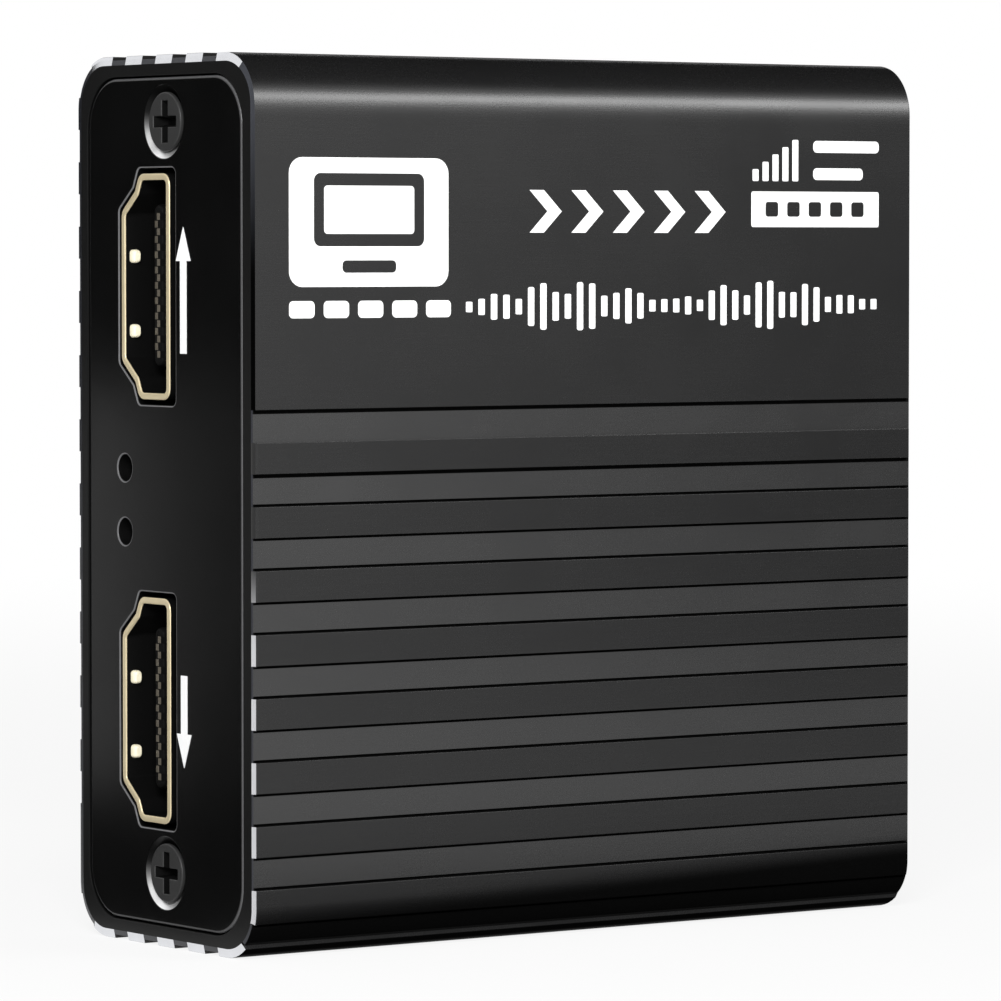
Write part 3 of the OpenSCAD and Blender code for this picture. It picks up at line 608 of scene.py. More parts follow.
panelEdge = bodyLow.z + sleeve["faceGap"] + sleeve["labelRibs"] * sleeve["labelPitch"]  # its lower edge
screwRadius = (screwHigh.y - screwLow.y) / 2
screwHeights = (screwLow.z + screwRadius, screwHigh.z - screwRadius)
forward = {"label": 1, "top": 1, "back": -1, "bottom": -1}  # which way the walk goes along each face


def onFace(face, along, lift):  # the outline over a face, also where it runs into a corner
    flat = face in ("top", "bottom")
    over = max(0, abs(along) - coreY) if flat else max(0, along - coreHigh, coreLow - along)
    reach = math.sqrt((floorRadius + lift) ** 2 - over ** 2)
    if flat:
        return (along, coreHigh + reach) if face == "top" else (along, coreLow - reach)
    return (-coreY - reach, along) if face == "label" else (coreY + reach, along)


def crestBands():  # first face and edge, last face and edge, height, notch at each edge
    full, thin, wide = sleeve["ribDepth"], sleeve["notch"], sleeve["wideNotch"]
    cornerIn = 2 * sleeve["narrowPitch"] - sleeve["narrowRibWidth"] / 2
    cornerOut = bodyHigh.y - sleeve["narrowGap"]
    bands = []
    last = sleeve["labelRibs"] - 1
    for n in range(sleeve["labelRibs"]):
        low = bodyLow.z + sleeve["faceGap"] + n * sleeve["labelPitch"]
        high = low + sleeve["labelRibHeight"]
        low = low if n else low - sleeve["lowRibExtra"]
        notches = (wide, 0) if n == last else (thin, thin)
        bands.append(("label", low, "label", high, full, *notches))
    bands.append(("label", panelEdge, "top", -cornerIn, full - sleeve["labelSink"], wide, thin))
    narrow = [n * sleeve["narrowPitch"] for n in (-1, 0, 1)]
    half = sleeve["narrowRibWidth"] / 2
    for y in narrow:
        bands.append(("top", y - half, "top", y + half, full, thin, thin))
    bands.append(("top", cornerIn, "top", cornerOut, full, thin, thin))
    for n in range(sleeve["backRibs"]):
        high = bodyHigh.z - sleeve["faceGap"] - n * sleeve["backPitch"]
        lowest = n == sleeve["backRibs"] - 1
        low = bodyLow.z + sleeve["faceGap"] if lowest else high - sleeve["backRibHeight"]
        bands.append(("back", high, "back", low, full, thin, thin))
    bands.append(("bottom", cornerOut, "bottom", cornerIn, full, thin, thin))
    for y in reversed(narrow):
        bands.append(("bottom", y + half, "bottom", y - half, full, thin, thin))
    bands.append(("bottom", -cornerIn, "bottom", -cornerOut - sleeve["footExtra"], full, thin, thin))
    return bands


def bandEdge(face, edge, into, height, notch):  # from the floor up to the crest, which lies towards into
    soft, deep = sleeve["edgeRound"], sleeve["notchDepth"]
    steps = [(-notch, 0, 0), (-0.8 * notch, -deep, 0), (0, -deep, 0)] if notch else []
    steps.append((0, 0, 0))
    steps += [(along, height - down, 1) for down, along in eased(soft, 3)]
    steps.append((3 * soft, height, 0))
    return [(onFace(face, edge + into * along, lift), worn) for along, lift, worn in steps]


def cornerTurn(first, last, radius):  # points round the body corner between two outline points
    centre = Vector((math.copysign(coreY, first[0]), coreHigh if first[1] > middleZ else coreLow))
    start = math.atan2(first[1] - centre.y, first[0] - centre.x)
    sweep = (start - math.atan2(last[1] - centre.y, last[0] - centre.x)) % math.tau
    steps = max(2, round(math.degrees(sweep) / 4))
    angles = [start - sweep * i / steps for i in range(1, steps)]
    return [(centre + radius * Vector((math.cos(a), math.sin(a))), 0) for a in angles]


def softTurn(radius):  # from the label panel up into the top, with a gentle start
    ramp, steps = sleeve["turnRamp"], sleeve["turnSteps"]
    first = ramp / (2 * radius)
    step = (ramp + radius * (math.pi / 2 - first)) / steps
    y, z, turn = -coreY - radius, 0, []
    for i in range(steps):
        run = (i + 0.5) * step
        angle = run * run / (2 * radius * ramp) if run < ramp else first + (run - ramp) / radius
        turn.append((y, z))
        y += step * math.sin(angle)
        z += step * math.cos(angle)
    return [((a, b + coreHigh + radius - z), 0) for a, b in turn]


def sleeveOutline():  # each point once round the sleeve, with its wear
    outline = []
    bands = crestBands()
    for n, (face, start, lastFace, end, height, notch, lastNotch) in enumerate(bands):
        rising = bandEdge(face, start, forward[face], height, notch)
        falling = bandEdge(lastFace, end, -forward[lastFace], height, lastNotch)[::-1]
        outline += rising
        if lastFace != face:
            outline += softTurn(floorRadius + height)
        else:
            steps = sleeve["crestSteps"]
            across = [start + (end - start) * i / steps for i in range(1, steps)]
            outline += [(onFace(face, along, height), 0) for along in across]
        outline += falling
        after = bands[(n + 1) % len(bands)]
        if after[0] != lastFace:
            ahead = bandEdge(after[0], after[1], forward[after[0]], after[4], after[5])
            outline += cornerTurn(falling[-1][0], ahead[0][0], floorRadius)
    return [Vector(point) for point, worn in outline], [worn for point, worn in outline]


def liftOf(point):  # height over the floor between ribs, and the way out
    near = Vector((min(max(point.x, -coreY), coreY), min(max(point.y, coreLow), coreHigh)))
    return (point - near).length - floorRadius, near, (point - near).normalized()


def heldDown(point, lowest, highest):  # a point of the outline, kept between two lifts over the floor
    lift, near, out = liftOf(point)
    if highest < 0:  # the rim of an end face is nearer to the label side
        highest += sleeve["labelRim"] * max(0, -out.x) ** 2
    return near + out * (floorRadius + min(max(lift, lowest), highest))


def hollowOutline():  # half of the hollow, then its mirror image
    inset = sleeve["ribDepth"] + sleeve["mouthWall"] + sleeve["ledge"]
    side, low, soft = bodyHigh.y - inset, bodyLow.z + inset, sleeve["hollowCorner"]
    boss, top = sleeve["bossRadius"], screwHeights[0]
    railTop = bodyLow.z + inset + sleeve["slotDepth"]
    railEnd = boardLow.y - sleeve["slotGap"]
    railStart = railEnd - sleeve["slotWall"]
    backing = boardHigh.y + sleeve["slotGap"]
    half = [(-side + inset, low + rise) for rise, inset in eased(soft, 10)]
    half.append((-boss, low))
    half += [(-boss * math.cos(a), top + boss * math.sin(a)) for a in turns(180, 20)]
    half += [(boss, low), (railStart, low), (railStart, railTop), (railEnd, railTop), (railEnd, low)]
    half += [(backing, low), (backing, railTop), (side, railTop)]
    return half + [(y, bodyLow.z + bodyHigh.z - z) for y, z in reversed(half)]


sleeveFinishes = (crestAnodised, brightCut, paintedShadeBlack, endAnodised, grooveAnodised, shadedCutAnodised, sideCutPaintedLight,
                  topAnodised, panelCutPaintedLight)


def makeSleeve():
    bm = bmesh.new()
    edge = bm.verts.layers.float.new("edge")
    outline, worn = sleeveOutline()
    lifts = [liftOf(point)[0] for point in outline]
    deep = (sleeve["notchStart"], -sleeve["notchDepth"], sleeve["ribDepth"])
    near = [(run, 0, lift) for run, lift in sleeve["bevel"]] + [deep]
    far = [(run, 0, lift) for run, lift in sleeve["farBevel"]] + [deep]
    sections = [(bodyLow.x + run, low, high) for run, low, high in near]
    sections += [(bodyHigh.x - run, low, high) for run, low, high in reversed(far)]
    spans = len(sections) - 1
    loops = [alongX([heldDown(p, low, high) for p in outline], x) for x, low, high in sections]
    for loop in loft(bm, loops)[1:-1]:
        for vert, mark in zip(loop, worn):
            vert[edge] = mark
    bm.faces.ensure_lookup_table()
    half = sleeve["ribDepth"] / 2
    lowEdge = bodyLow.z + sleeve["faceGap"] - sleeve["lowRibExtra"] - half
    highEdge = bodyHigh.z - sleeve["faceGap"] + half
    brightFrom = coreHigh + sleeve["corner"] * math.cos(math.radians(sleeve["brightTurn"]))
    for i, point in enumerate(outline):
        lowest, highest = min(lifts[i], lifts[i - 1]), max(lifts[i], lifts[i - 1])
        onTop = point.y > coreHigh and abs(point.x) < sleeve["topHalf"]
        # rib ends are bright cut metal, with painted shade on the back side and painted light and shade on
        # the label side
        endFinish = brightCut
        if point.x > coreY and lowEdge < point.y < highEdge:
            endFinish = shadedCutAnodised
        elif point.x < -coreY and lowEdge < point.y < brightFrom:
            endFinish = sideCutPaintedLight if point.y < panelEdge - half else panelCutPaintedLight
        for span in range(spans):
            fromEnd = min(span, spans - 1 - span)
            finish = topAnodised if onTop else crestAnodised
            if lowest > half and fromEnd < len(sleeve["bevel"]) - 2:
                finish = endFinish
            elif highest < half and fromEnd == 0:
                finish = shadedCutAnodised
            # the notch faces are painted shade
            elif lowest < -half:
                finish = paintedShadeBlack
            elif highest < half and not onTop:
                finish = grooveAnodised
            bm.faces[span * len(outline) + i].material_index = sleeveFinishes.index(finish)
    inset = sleeve["ribDepth"] + sleeve["mouthWall"]
    corner, ease = sleeve["pocketCorner"], sleeve["mouthEase"]
    pocketLow = (-bodyHigh.y + inset, bodyLow.z + inset)
    pocketHigh = (bodyHigh.y - inset, bodyHigh.z - inset)
    pocket = partial(grown, boxCore(pocketLow, pocketHigh, corner), steps=16)
    hollow = hollowOutline()
    bores = [ring((0, z), sleeve["boreRadius"]) for z in screwHeights]
    plain, shade = sleeveFinishes.index(endAnodised), sleeveFinishes.index(paintedShadeBlack)
    floor = plateHigh.x  # where the pocket ends, and the hollow with the screw bores begins
    for way, outer in ((1, loops[0]), (-1, loops[-1])):
        end = way * bodyLow.x
        mouth = alongX(pocket(corner + ease), end)
        lip = alongX(pocket(corner + 0.3 * ease), end + way * 0.3 * ease)
        wall = alongX(pocket(corner), end + way * ease)
        foot = alongX(pocket(corner), way * floor)
        fill(bm, [outer, mouth], plain)
        # the pocket's inner wall is painted shade
        loft(bm, [mouth, lip, wall, foot], finishes=[plain, plain, shade])
        fill(bm, [foot] + [alongX(points, way * floor) for points in [hollow] + bores], plain)
    for points in [hollow] + bores:
        loft(bm, [alongX(points, floor), alongX(points, -floor)], finishes=[plain])
    settle(makePiece("ribbedSleeve", bm, *sleeveFinishes), "black_anodised", "sleeve")


makeSleeve()


# The two end panels
panel = {
    "corner": 3.28,
    "ease": 0.18,
    "cutEase": 0.075,  # the eased edge round each cut-out
    "cutLine": 0.03,  # width of the painted highlight line beside it
    "cutCorner": 0.45,
    "cutScale": (1.12, 0.968),
    "cutShift": (-0.22, -0.08),
    "sinkTop": 2.4,
    "sinkFoot": 1.3,
    "sinkEase": 0.04,
    "glintTurn": 22,  # degrees round a countersink from its foot to the middle of its painted highlight
    "glintFade": 2.5,
    "socketGap": 0.5,
    "lampRadius": 0.9,
    "lampLift": 0.25,
    "dataCorner": 0.3,
    "dataLift": 0.1,
}
video = {
    "mouthLength": 14.0,
    "mouthHeight": 4.55,
    "narrowLength": 9.8,
    "knee": 2.5,
    "mouthRound": 0.35,
    "step": 0.85,
    "stepHeight": 0.35,
    "wall": 0.45,
    "rimWall": 0.43,
    "rimRound": 0.08,
    "rimDepth": 0.1,
    "flare": (1.125, 0.992),  # the lip is spread this much, so that a plug finds its way in
    "flareShift": (0, -0.08),
    "flareDepth": 0.6,
    "bumpRadius": 0.44,
    "bumpSquash": 0.68,
    "bumpSoft": 0.5,
    "bumpFlat": 0.6,
    "bumpHeight": 0.35,
    "bumpInset": 0.65,
    "bumpDrop": 0.55,
    "bumpSpacing": 4.9,
    "legLength": 1.3,
    "legSpots": (4.2, 9.4),
    "legShy": 0.05,
    "legTaper": 0.25,
    "blockLength": 2.5,
    "mouldGap": 0.04,
    "tongueThick": 1.1,
    "tongueWidth": 10.6,
    "tongueShift": 0.45,
    "tongueNose": 0.24,
    "noseProud": 0.03,
    "noseLap": 0.06,  # how far a contact's tip reaches past the middle of the nose
    "contactPitch": 1.0,
    "contactWidth": 0.44,
    "contactThick": 0.16,
    "footLength": 0.9,
}
shellLow, shellHigh = boxMm("output_shell")
socketY = shellLow.y + video["wall"] + video["mouthHeight"] / 2
tongueY = socketY - video["tongueShift"]


def socketZ(name):
    low, high = boxMm(name + "_shell")
    return (low.z + high.z) / 2


def mouthCore(z, scale=(1, 1), shift=(0, 0)):
    soft = video["mouthRound"]
    wide, narrow = video["mouthLength"] / 2 - soft, video["narrowLength"] / 2 - soft
    low, high = socketY - video["mouthHeight"] / 2 + soft, socketY + video["mouthHeight"] / 2 - soft
    knee = socketY - video["mouthHeight"] / 2 + video["knee"]
    side = [(low, wide), (knee, wide), (knee + video["stepHeight"], wide - video["step"]), (high, narrow)]
    side = [(socketY + (y - socketY) * scale[0] + shift[0], h * scale[1]) for y, h in side]
    z += shift[1]
    return [(y, z - h) for y, h in side] + [(y, z + h) for y, h in reversed(side)]


def easedHole(shape, radius, ease, deep):  # outlines, depths and marks, from the panel face to its back; the marks place the painted highlight
    hole = [(shape(radius + ease + panel["cutLine"]), 0, 0)]
    hole += [(shape(radius + inset), depth, 1) for inset, depth in eased(ease, 3)]
    return hole + [(shape(radius), deep, 0)], [0, 0, 0, 0, 2]


def sinkHole(z, deep):
    top, foot, ease = panel["sinkTop"], panel["sinkFoot"], panel["sinkEase"]
    shape = partial(ring, (0, z), steps=64)
    hole = [(shape(top + ease), 0, 0), (shape(top), 0.5 * ease, 1), (shape(top - ease), 1.5 * ease, 1)]
    hole += [(shape(foot), top - foot, 1), (shape(foot), deep, 0)]
    return hole, [0, 1, 1, 2]


def makePanel(name, node, slot, holes):
    low, high, way, face = endBox(node)
    deep = high.x - low.x
    corner, ease = panel["corner"], panel["ease"]
    shape = partial(grown, boxCore(low[1:], high[1:], corner), steps=16)
    # the eased rim carries the mark of the painted highlight
    rim = [(shape(corner - inset), depth, 1 - inset / ease) for inset, depth in eased(ease, 4)]
    rim.append((shape(corner), deep, 0))
    bm = bmesh.new()
    edge = bm.verts.layers.float.new("edge")
    paintedGlint = bm.verts.layers.float.new("paintedGlint")
    # finish 2 on the panel's outer side and on the walls inside the holes is painted shade
    walls = [(rim, [0, 0, 0, 0, 2])] + holes(deep)
    for loops, finishes in walls:
        carried = [alongX(points, face + way * depth) for points, depth, mark in loops]
        for loop, (points, depth, mark) in zip(loft(bm, carried, finishes=finishes), loops):
            for n, vert in enumerate(loop):
                # the painted highlight of a countersink is placed by its angle round the hole
                turn = math.tau * n / len(loop) - math.radians(270 + way * panel["glintTurn"])
                vert[paintedGlint] = mark * max(0, math.cos(turn)) ** panel["glintFade"]
                vert[edge] = vert[paintedGlint] if 1 in finishes else mark  # a countersink's painted highlight lies on one side only
    fill(bm, [alongX(loops[0][0], face) for loops, finishes in walls])
    fill(bm, [alongX(loops[-1][0], face + way * deep) for loops, finishes in walls])
    return settle(makePiece(name, bm, panelBlack, sinkCut, paintedShadeBlack), slot, node)


def frontHoles(deep):
    soft = panel["cutCorner"]
    out = video["mouthRound"] + video["wall"] + panel["socketGap"] - soft
    holes = [sinkHole(z, deep) for z in screwHeights]
    for name in ("output", "input"):
        core = mouthCore(socketZ(name), panel["cutScale"], panel["cutShift"])
        shape = partial(grown, mitred(core, out))
        holes.append(easedHole(shape, soft, panel["cutEase"], deep))
    for name in ("signal_led", "power_led"):
        low, high = boxMm(name)
        centre = (boardLow.y - panel["lampLift"], (low.z + high.z) / 2)
        holes.append(easedHole(partial(ring, centre), panel["lampRadius"], panel["cutEase"], deep))
    return holes


def rearHoles(deep):
    gap, soft = panel["socketGap"], panel["dataCorner"]
    low, high = boxMm("data_shell")
    core = boxCore((low.y - gap, low.z - gap), (boardLow.y - panel["dataLift"] + gap, high.z + gap), soft)
    holes = [sinkHole(z, deep) for z in screwHeights]
    return holes + [easedHole(partial(grown, core), soft, panel["cutEase"], deep)]


makePanel("frontPanel", "front_plate", "black_plate", frontHoles)
makePanel("rearPanel", "rear_plate", "black_plate", rearHoles)


# Countersunk screws with a tapered cross recess
screw = {
    "shank": 1.2,
    "edge": 0.1,
    "rim": 0.25,
    "shy": 0.06,  # how much smaller the head is than its place
    "crossLength": 2.84,
    "crossWidth": 0.82,
    "crossEase": 0.05,
    "crossDepth": 0.9,
    "crossFootLength": 1.8,
    "crossFootWidth": 0.36,
}


def crossOutline(z, length, width):
    a, b = length / 2, width / 2
    corner = [(a, -b), (a, b), (b, b)]
    points = []
    for quarter in range(4):
        for y, h in corner:
            for turn in range(quarter):
                y, h = -h, y
            points.append((y, z + h))
    return points


def makeScrews(name, node, slot):
    low, high, way, face = endBox(node)
    z, soft, shank = screwHeights[0], screw["edge"], screw["shank"]
    shape = partial(ring, (0, z), steps=48)
    head, under = screwRadius - screw["shy"], screw["rim"]
    profile = [(head - inset, depth) for inset, depth in eased(soft, 3)]
    profile += [(head, under), (shank, under + head - shank), (shank, high.x - low.x)]
    loops = [alongX(shape(radius), face + way * depth) for radius, depth in profile]
    length, width, ease = screw["crossLength"], screw["crossWidth"], screw["crossEase"]
    top = alongX(crossOutline(z, length, width), face)
    rim = alongX(crossOutline(z, length - 2 * ease, width - 2 * ease), face + way * ease)
    foot = crossOutline(z, screw["crossFootLength"], screw["crossFootWidth"])
    foot = alongX(foot, face + way * screw["crossDepth"])
    bm = bmesh.new()
    loft(bm, loops)
    # the cross recess is painted shade
    loft(bm, [top, rim, foot], finishes=[0, 1])
    fill(bm, [loops[0], top])
    fill(bm, [foot], 1)
    fill(bm, [loops[-1]])
    markDark(bm, lambda facet: facet.material_index)
    step = (0, 0, screwHeights[1] - z)
    settle(inRow(makePiece(name, bm, screwBlack, paintedShadeBlack), 2, step, screwBlack, paintedShadeBlack), slot, node)


makeScrews("frontScrewPair", "front_screws", "dark_screw")
makeScrews("rearScrewPair", "rear_screws", "dark_screw")


# Video sockets: gold rim on a shell whose walls are painted black as shade, black tongue, two rows of
# contacts that turn round its nose
def makeVideoShell(name, node):
    low, high = boxMm(node)
    z = (low.z + high.z) / 2
    lip = partial(grown, mouthCore(z, video["flare"], video["flareShift"]), steps=5)
    tube = partial(grown, mouthCore(z), steps=5)
    inner, wall, soft = video["mouthRound"], video["rimWall"], video["rimRound"]
    outer, flare, deep = inner + video["wall"], video["flareDepth"], high.x - low.x
    rim = [(inner, video["rimDepth"]), *lipRound(inner, inner + wall, soft, 4), (inner + wall, flare)]
    walls = [(outer, 2 * flare), (outer, deep), (inner, deep), (inner, 2 * flare)]
    bm = bmesh.new()
    loops = [alongX(lip(radius), low.x + depth) for radius, depth in rim]
    loops += [alongX(tube(radius), low.x + depth) for radius, depth in walls]
    # past the gold rim the shell's walls are painted shade
    loft(bm, loops, closed=True, finishes=[0] * 10 + [1] * 6)
    for side in (-1, 1):
        for place in (-0.5, 0.5):
            latchBump(bm, low.x, side, z - video["bumpDrop"] + place * video["bumpSpacing"])
        for spot in video["legSpots"]:
            shellLeg(bm, low.x + spot, z + side * (video["mouthLength"] + video["wall"]) / 2, high.y)
    settle(makePiece(name, bm, goldPlate, paintedShadeBlack, latchHighlightGold), "gold_shell", node)


def padOutline(x, z, radius):
    wide, soft = radius * video["bumpSquash"], radius * video["bumpSoft"]
    return rounded((x - wide, z - radius), (x + wide, z + radius), soft)


def latchBump(bm, face, side, z):  # a pressed pad on the inner wall, painted pale and matte as a highlight
    wallY = socketY + side * video["mouthHeight"] / 2
    shape = partial(padOutline, face + video["bumpInset"], z)
    loops = [alongY(shape(video["bumpRadius"]), wallY + side * video["wall"] / 2)]
    flat = video["bumpFlat"] * video["bumpRadius"]
    for a in [math.radians(degrees) for degrees in (0, 20, 40, 60, 80, 90)]:
        radius = flat + (video["bumpRadius"] - flat) * math.cos(a)
        loops.append(alongY(shape(radius), wallY - side * video["bumpHeight"] * math.sin(a)))
    capped(bm, loops, 2)


def shellLeg(bm, x, z, tip):
    thin = video["wall"] / 2 - video["legShy"]
    outline = legOutline(x, video["legLength"] / 2, socketY, tip, video["legTaper"])
    slab(bm, [outline], alongZ, z - thin, z + thin)


def makeVideoInsulator(name, node):
    low, high = boxMm(node)
    z = (low.z + high.z) / 2
    blockStart = high.x - video["blockLength"]
    bm = bmesh.new()
    slab(bm, [grown(mouthCore(z), video["mouthRound"] - video["mouldGap"])], alongX, blockStart, high.x)
    half, wide, nose = video["tongueThick"] / 2, video["tongueWidth"] / 2, video["tongueNose"]
    soft = half - video["mouldGap"]
    shape = partial(grown, boxCore((tongueY - half, z - wide), (tongueY + half, z + wide), soft), steps=4)
    loops = blunt(soft, nose) + [(soft, blockStart + nose - low.x)]
    capped(bm, [alongX(shape(radius), low.x + depth) for radius, depth in loops])
    settle(makePiece(name, bm, blackMoulding), "black_moulding", node)


def contactSide(tip, high, side):  # side view of one contact, from the tongue's nose to its soldered foot
    thick, nose = video["contactThick"], video["tongueNose"]
    near = tongueY + side * video["tongueThick"] / 2
    far = near + side * thick
    curl = tongueY - side * video["noseLap"]
    front = tip - video["noseProud"]
    tail, board = high.x - video["footLength"], high.y
    hook = [(tip + thick, curl), (front, curl), (front, near - side * nose), (front + nose, far)]
    back = [(tip + nose, near), (tip + thick, near - side * nose)]
    if side > 0:
        run = [(tail - thick, far), (tail - thick, board), (high.x, board), (high.x, board - thick),
               (tail, board - thick), (tail, near)]
    else:
        run = [(tail, far), (tail, board - thick), (high.x, board - thick), (high.x, board),
               (tail - thick, board), (tail - thick, near)]
    return hook + run + back


def makeVideoContacts(name, node, shell):
    low, high = boxMm(node)
    tongueTip = boxMm(shell + "_insulator")[0].x
    z = socketZ(shell)
    half = video["contactWidth"] / 2
    for side, count, row in ((1, 9, "Inner"), (-1, 10, "Outer")):
        start = z - (count - 1) / 2 * video["contactPitch"]
        bm = bmesh.new()
        slab(bm, [contactSide(tongueTip, high, side)], alongZ, start - half, start + half)
        # painted shade on the contact runs behind the nose; only the tips keep the shaded gold
        markDark(bm, lambda facet: facet.calc_center_median().x > tongueTip)
        piece = makePiece(name + row, bm, shadedContact, paintedShadeBlack)
        step = (0, 0, video["contactPitch"])
        settle(inRow(piece, count, step, shadedContact, paintedShadeBlack), "gold_contact", node)


for socket in ("output", "input"):
    makeVideoShell(socket + "GoldShell", socket + "_shell")
    makeVideoInsulator(socket + "Tongue", socket + "_insulator")
    makeVideoContacts(socket + "Contacts", socket + "_contacts", socket)


# The data socket at the far end
data = {
    "wall": 0.35,
    "corner": 0.7,
    "rim": 0.13,
    "lift": 0.1,
    "mouthDepth": 9.0,
    "mouthWidth": 8.45,
    "mouthHeight": 7.4,
    "mouthCut": 1.5,
    "upperWidth": 5.6,
    "upperHeight": 2.6,
    "floor": 1.1,
    "bodyCorner": 0.3,
    "tongueWidth": 5.6,
    "tongueHeight": 3.2,
    "tongueRecess": 1.0,
    "tongueCorner": 0.5,
    "tongueNose": 0.35,
    "lip": 0.25,
    "legInset": 6.5,
    "legHalf": 0.8,
    "legTaper": 0.3,
}
dataLow, dataHigh = boxMm("data_shell")
dataBase = boardLow.y - data["lift"]  # the side of the socket that faces the board
dataZ = (dataLow.z + dataHigh.z) / 2


def makeDataShell():
    corner, wall, soft = data["corner"], data["wall"], data["rim"]
    shape = partial(grown, boxCore((dataLow.y, dataLow.z), (dataBase, dataHigh.z), corner))
    face, back = dataHigh.x, dataLow.x
    cup = [(corner - wall, back + wall)]
    cup += [(radius, face - depth) for radius, depth in lipRound(corner - wall, corner, soft, 3)]
    cup.append((corner, back))
    bm = bmesh.new()
    capped(bm, [alongX(shape(radius), x) for radius, x in cup])
    half = data["legHalf"]
    outline = legOutline(face - data["legInset"], half, dataBase - 2 * half, dataHigh.y, data["legTaper"])
    for side in (dataLow.z, dataHigh.z - wall):
        slab(bm, [outline], alongZ, side, side + wall)
    settle(makePiece("dataShellTin", bm, tinPlate), "tin_shell", "data_shell")


def dataMouth():
    half, upper, cut = data["mouthWidth"] / 2, data["upperWidth"] / 2, data["mouthCut"]
    low = dataBase - data["floor"]
    top = low - data["mouthHeight"]
    meet = top + cut - (half - upper)
    roof = top - data["upperHeight"]
    side = [(roof, upper), (meet, upper), (top + cut, half), (low, half)]
    return [(y, dataZ - z) for y, z in side] + [(y, dataZ + z) for y, z in reversed(side)]


def makeDataInsulator():
    low, high = boxMm("data_insulator")
    lip, soft = data["lip"], data["bodyCorner"]
    mouth = dataMouth()
    back = high.x - data["mouthDepth"]
    outer = rounded(low[1:], high[1:], soft)
    loops = [(mitred(mouth, lip), high.x), (mitred(mouth, 0.35 * lip), high.x - 0.35 * lip),
             (mouth, high.x - lip), (mouth, back)]
    bm = bmesh.new()
    fill(bm, [alongX(outer, high.x), alongX(loops[0][0], high.x)])
    fill(bm, [alongX(outer, low.x)])
    loft(bm, [alongX(outer, high.x), alongX(outer, low.x)])
    loft(bm, [alongX(points, x) for points, x in loops])
    fill(bm, [alongX(mouth, back)])
    middle = dataBase - data["floor"] - data["mouthHeight"] / 2
    half, wide = data["tongueHeight"] / 2, data["tongueWidth"] / 2
    corner, nose = data["tongueCorner"], data["tongueNose"]
    shape = partial(grown, boxCore((middle - half, dataZ - wide), (middle + half, dataZ + wide), corner))
    tip = high.x - data["tongueRecess"]
    tongue = blunt(corner, nose) + [(corner, tip - back + nose)]
    capped(bm, [alongX(shape(radius), tip - depth) for radius, depth in tongue])
    settle(makePiece("dataMoulding", bm, blueMoulding), "blue_moulding", "data_insulator")


makeDataShell()
makeDataInsulator()


# Printed marks: plain shapes in white ink
marks = {
    "ink": 0.04,
    "tile": ((-24.3, 43.15), (-11.9, 51.45)),
    "tileCorner": 1.0,
    "screen": ((-22.4, 45.75), (-13.8, 50.45)),
    "screenCorner": 0.5,
    "screenFrame": 0.8,
    "glassCorner": 0.25,
    "standFoot": ((-20.2, 44.05), (-16.0, 44.85)),
    "barCorner": 0.3,
    "dashes": {"start": (-24.3, 41.15), "size": (1.95, 1.1), "count": 5, "step": 2.66},
    "chevrons": {"start": (-5.4, 46.65), "size": (2.6, 2.8), "stroke": 1.15, "count": 5, "step": 3.4},
    "wave": {"start": (-10.5, 41.8), "size": (0.5, 3.4), "corner": 0.15, "count": 35, "step": 0.995,
             "least": 0.2, "turn": 0.83, "slowTurn": 0.19},
    "meter": {"start": (13.1, 50.15), "size": (0.5, 0.8), "corner": 0.08, "count": 5, "step": 0.85,
              "rise": 0.5},
    "box": ((13.0, 47.05), (24.0, 49.45)),
    "boxCorner": 0.15,
    "boxHoles": {"start": (14.2, 47.75), "size": (1.1, 1.0), "corner": 0.2, "count": 5, "step": 1.85},
    "stripes": (((18.3, 52.1), (24.0, 52.9)), ((18.3, 50.25), (22.6, 51.05))),
}
inkFace = bodyLow.y
inkBack = bodyLow.y + marks["ink"]


def inked(bm, outlines):
    slab(bm, outlines, alongY, inkFace, inkBack)


def placed(start, size, soft):  # a rounded box by its low corner and size
    return rounded(start, (start[0] + size[0], start[1] + size[1]), soft)


def printed(name, *shapes):  # each shape is an outline, with any holes after it
    bm = bmesh.new()
    for outlines in shapes:
        inked(bm, outlines)
    settle(makePiece(name, bm, printWhite), None)


def printedRow(name, outline, row):
    bm = bmesh.new()
    inked(bm, [outline])
    piece = makePiece(name, bm, printWhite)
    settle(inRow(piece, row["count"], (row["step"], 0, 0), printWhite, printWhite), None)


def makeTile():
    thick = marks["screenFrame"]
    low, high = marks["screen"]
    inside = (low[0] + thick, low[1] + thick), (high[0] - thick, high[1] - thick)
    glass = rounded(*inside, marks["glassCorner"])
    holes = [rounded(low, high, marks["screenCorner"]), rounded(*marks["standFoot"], marks["barCorner"])]
    printed("labelTile", [rounded(*marks["tile"], marks["tileCorner"])] + holes, [glass])


def chevron(start, size, stroke):
    x, z = start
    width, height = size
    return [(x, z), (x + stroke, z), (x + width, z + height / 2), (x + stroke, z + height),
            (x, z + height), (x + width - stroke, z + height / 2)]


def makeWave():  # bars that stand about one middle line, scaled there before they are moved into place
    wave = marks["wave"]
    width, height = wave["size"]
    bm = bmesh.new()
    inked(bm, [rounded((0, -height / 2), (width, height / 2), wave["corner"])])
    heights = {"Least": wave["least"], "Turn": wave["turn"], "Slow turn": wave["slowTurn"]}
    piece = makePiece("labelWave", bm, printWhite)
    inRow(piece, wave["count"], (wave["step"], 0, 0), printWhite, printWhite, waveOfBars, heights)
    start = Vector((wave["start"][0], 0, wave["start"][1])) * mm
    settle(piece, None, move=start)


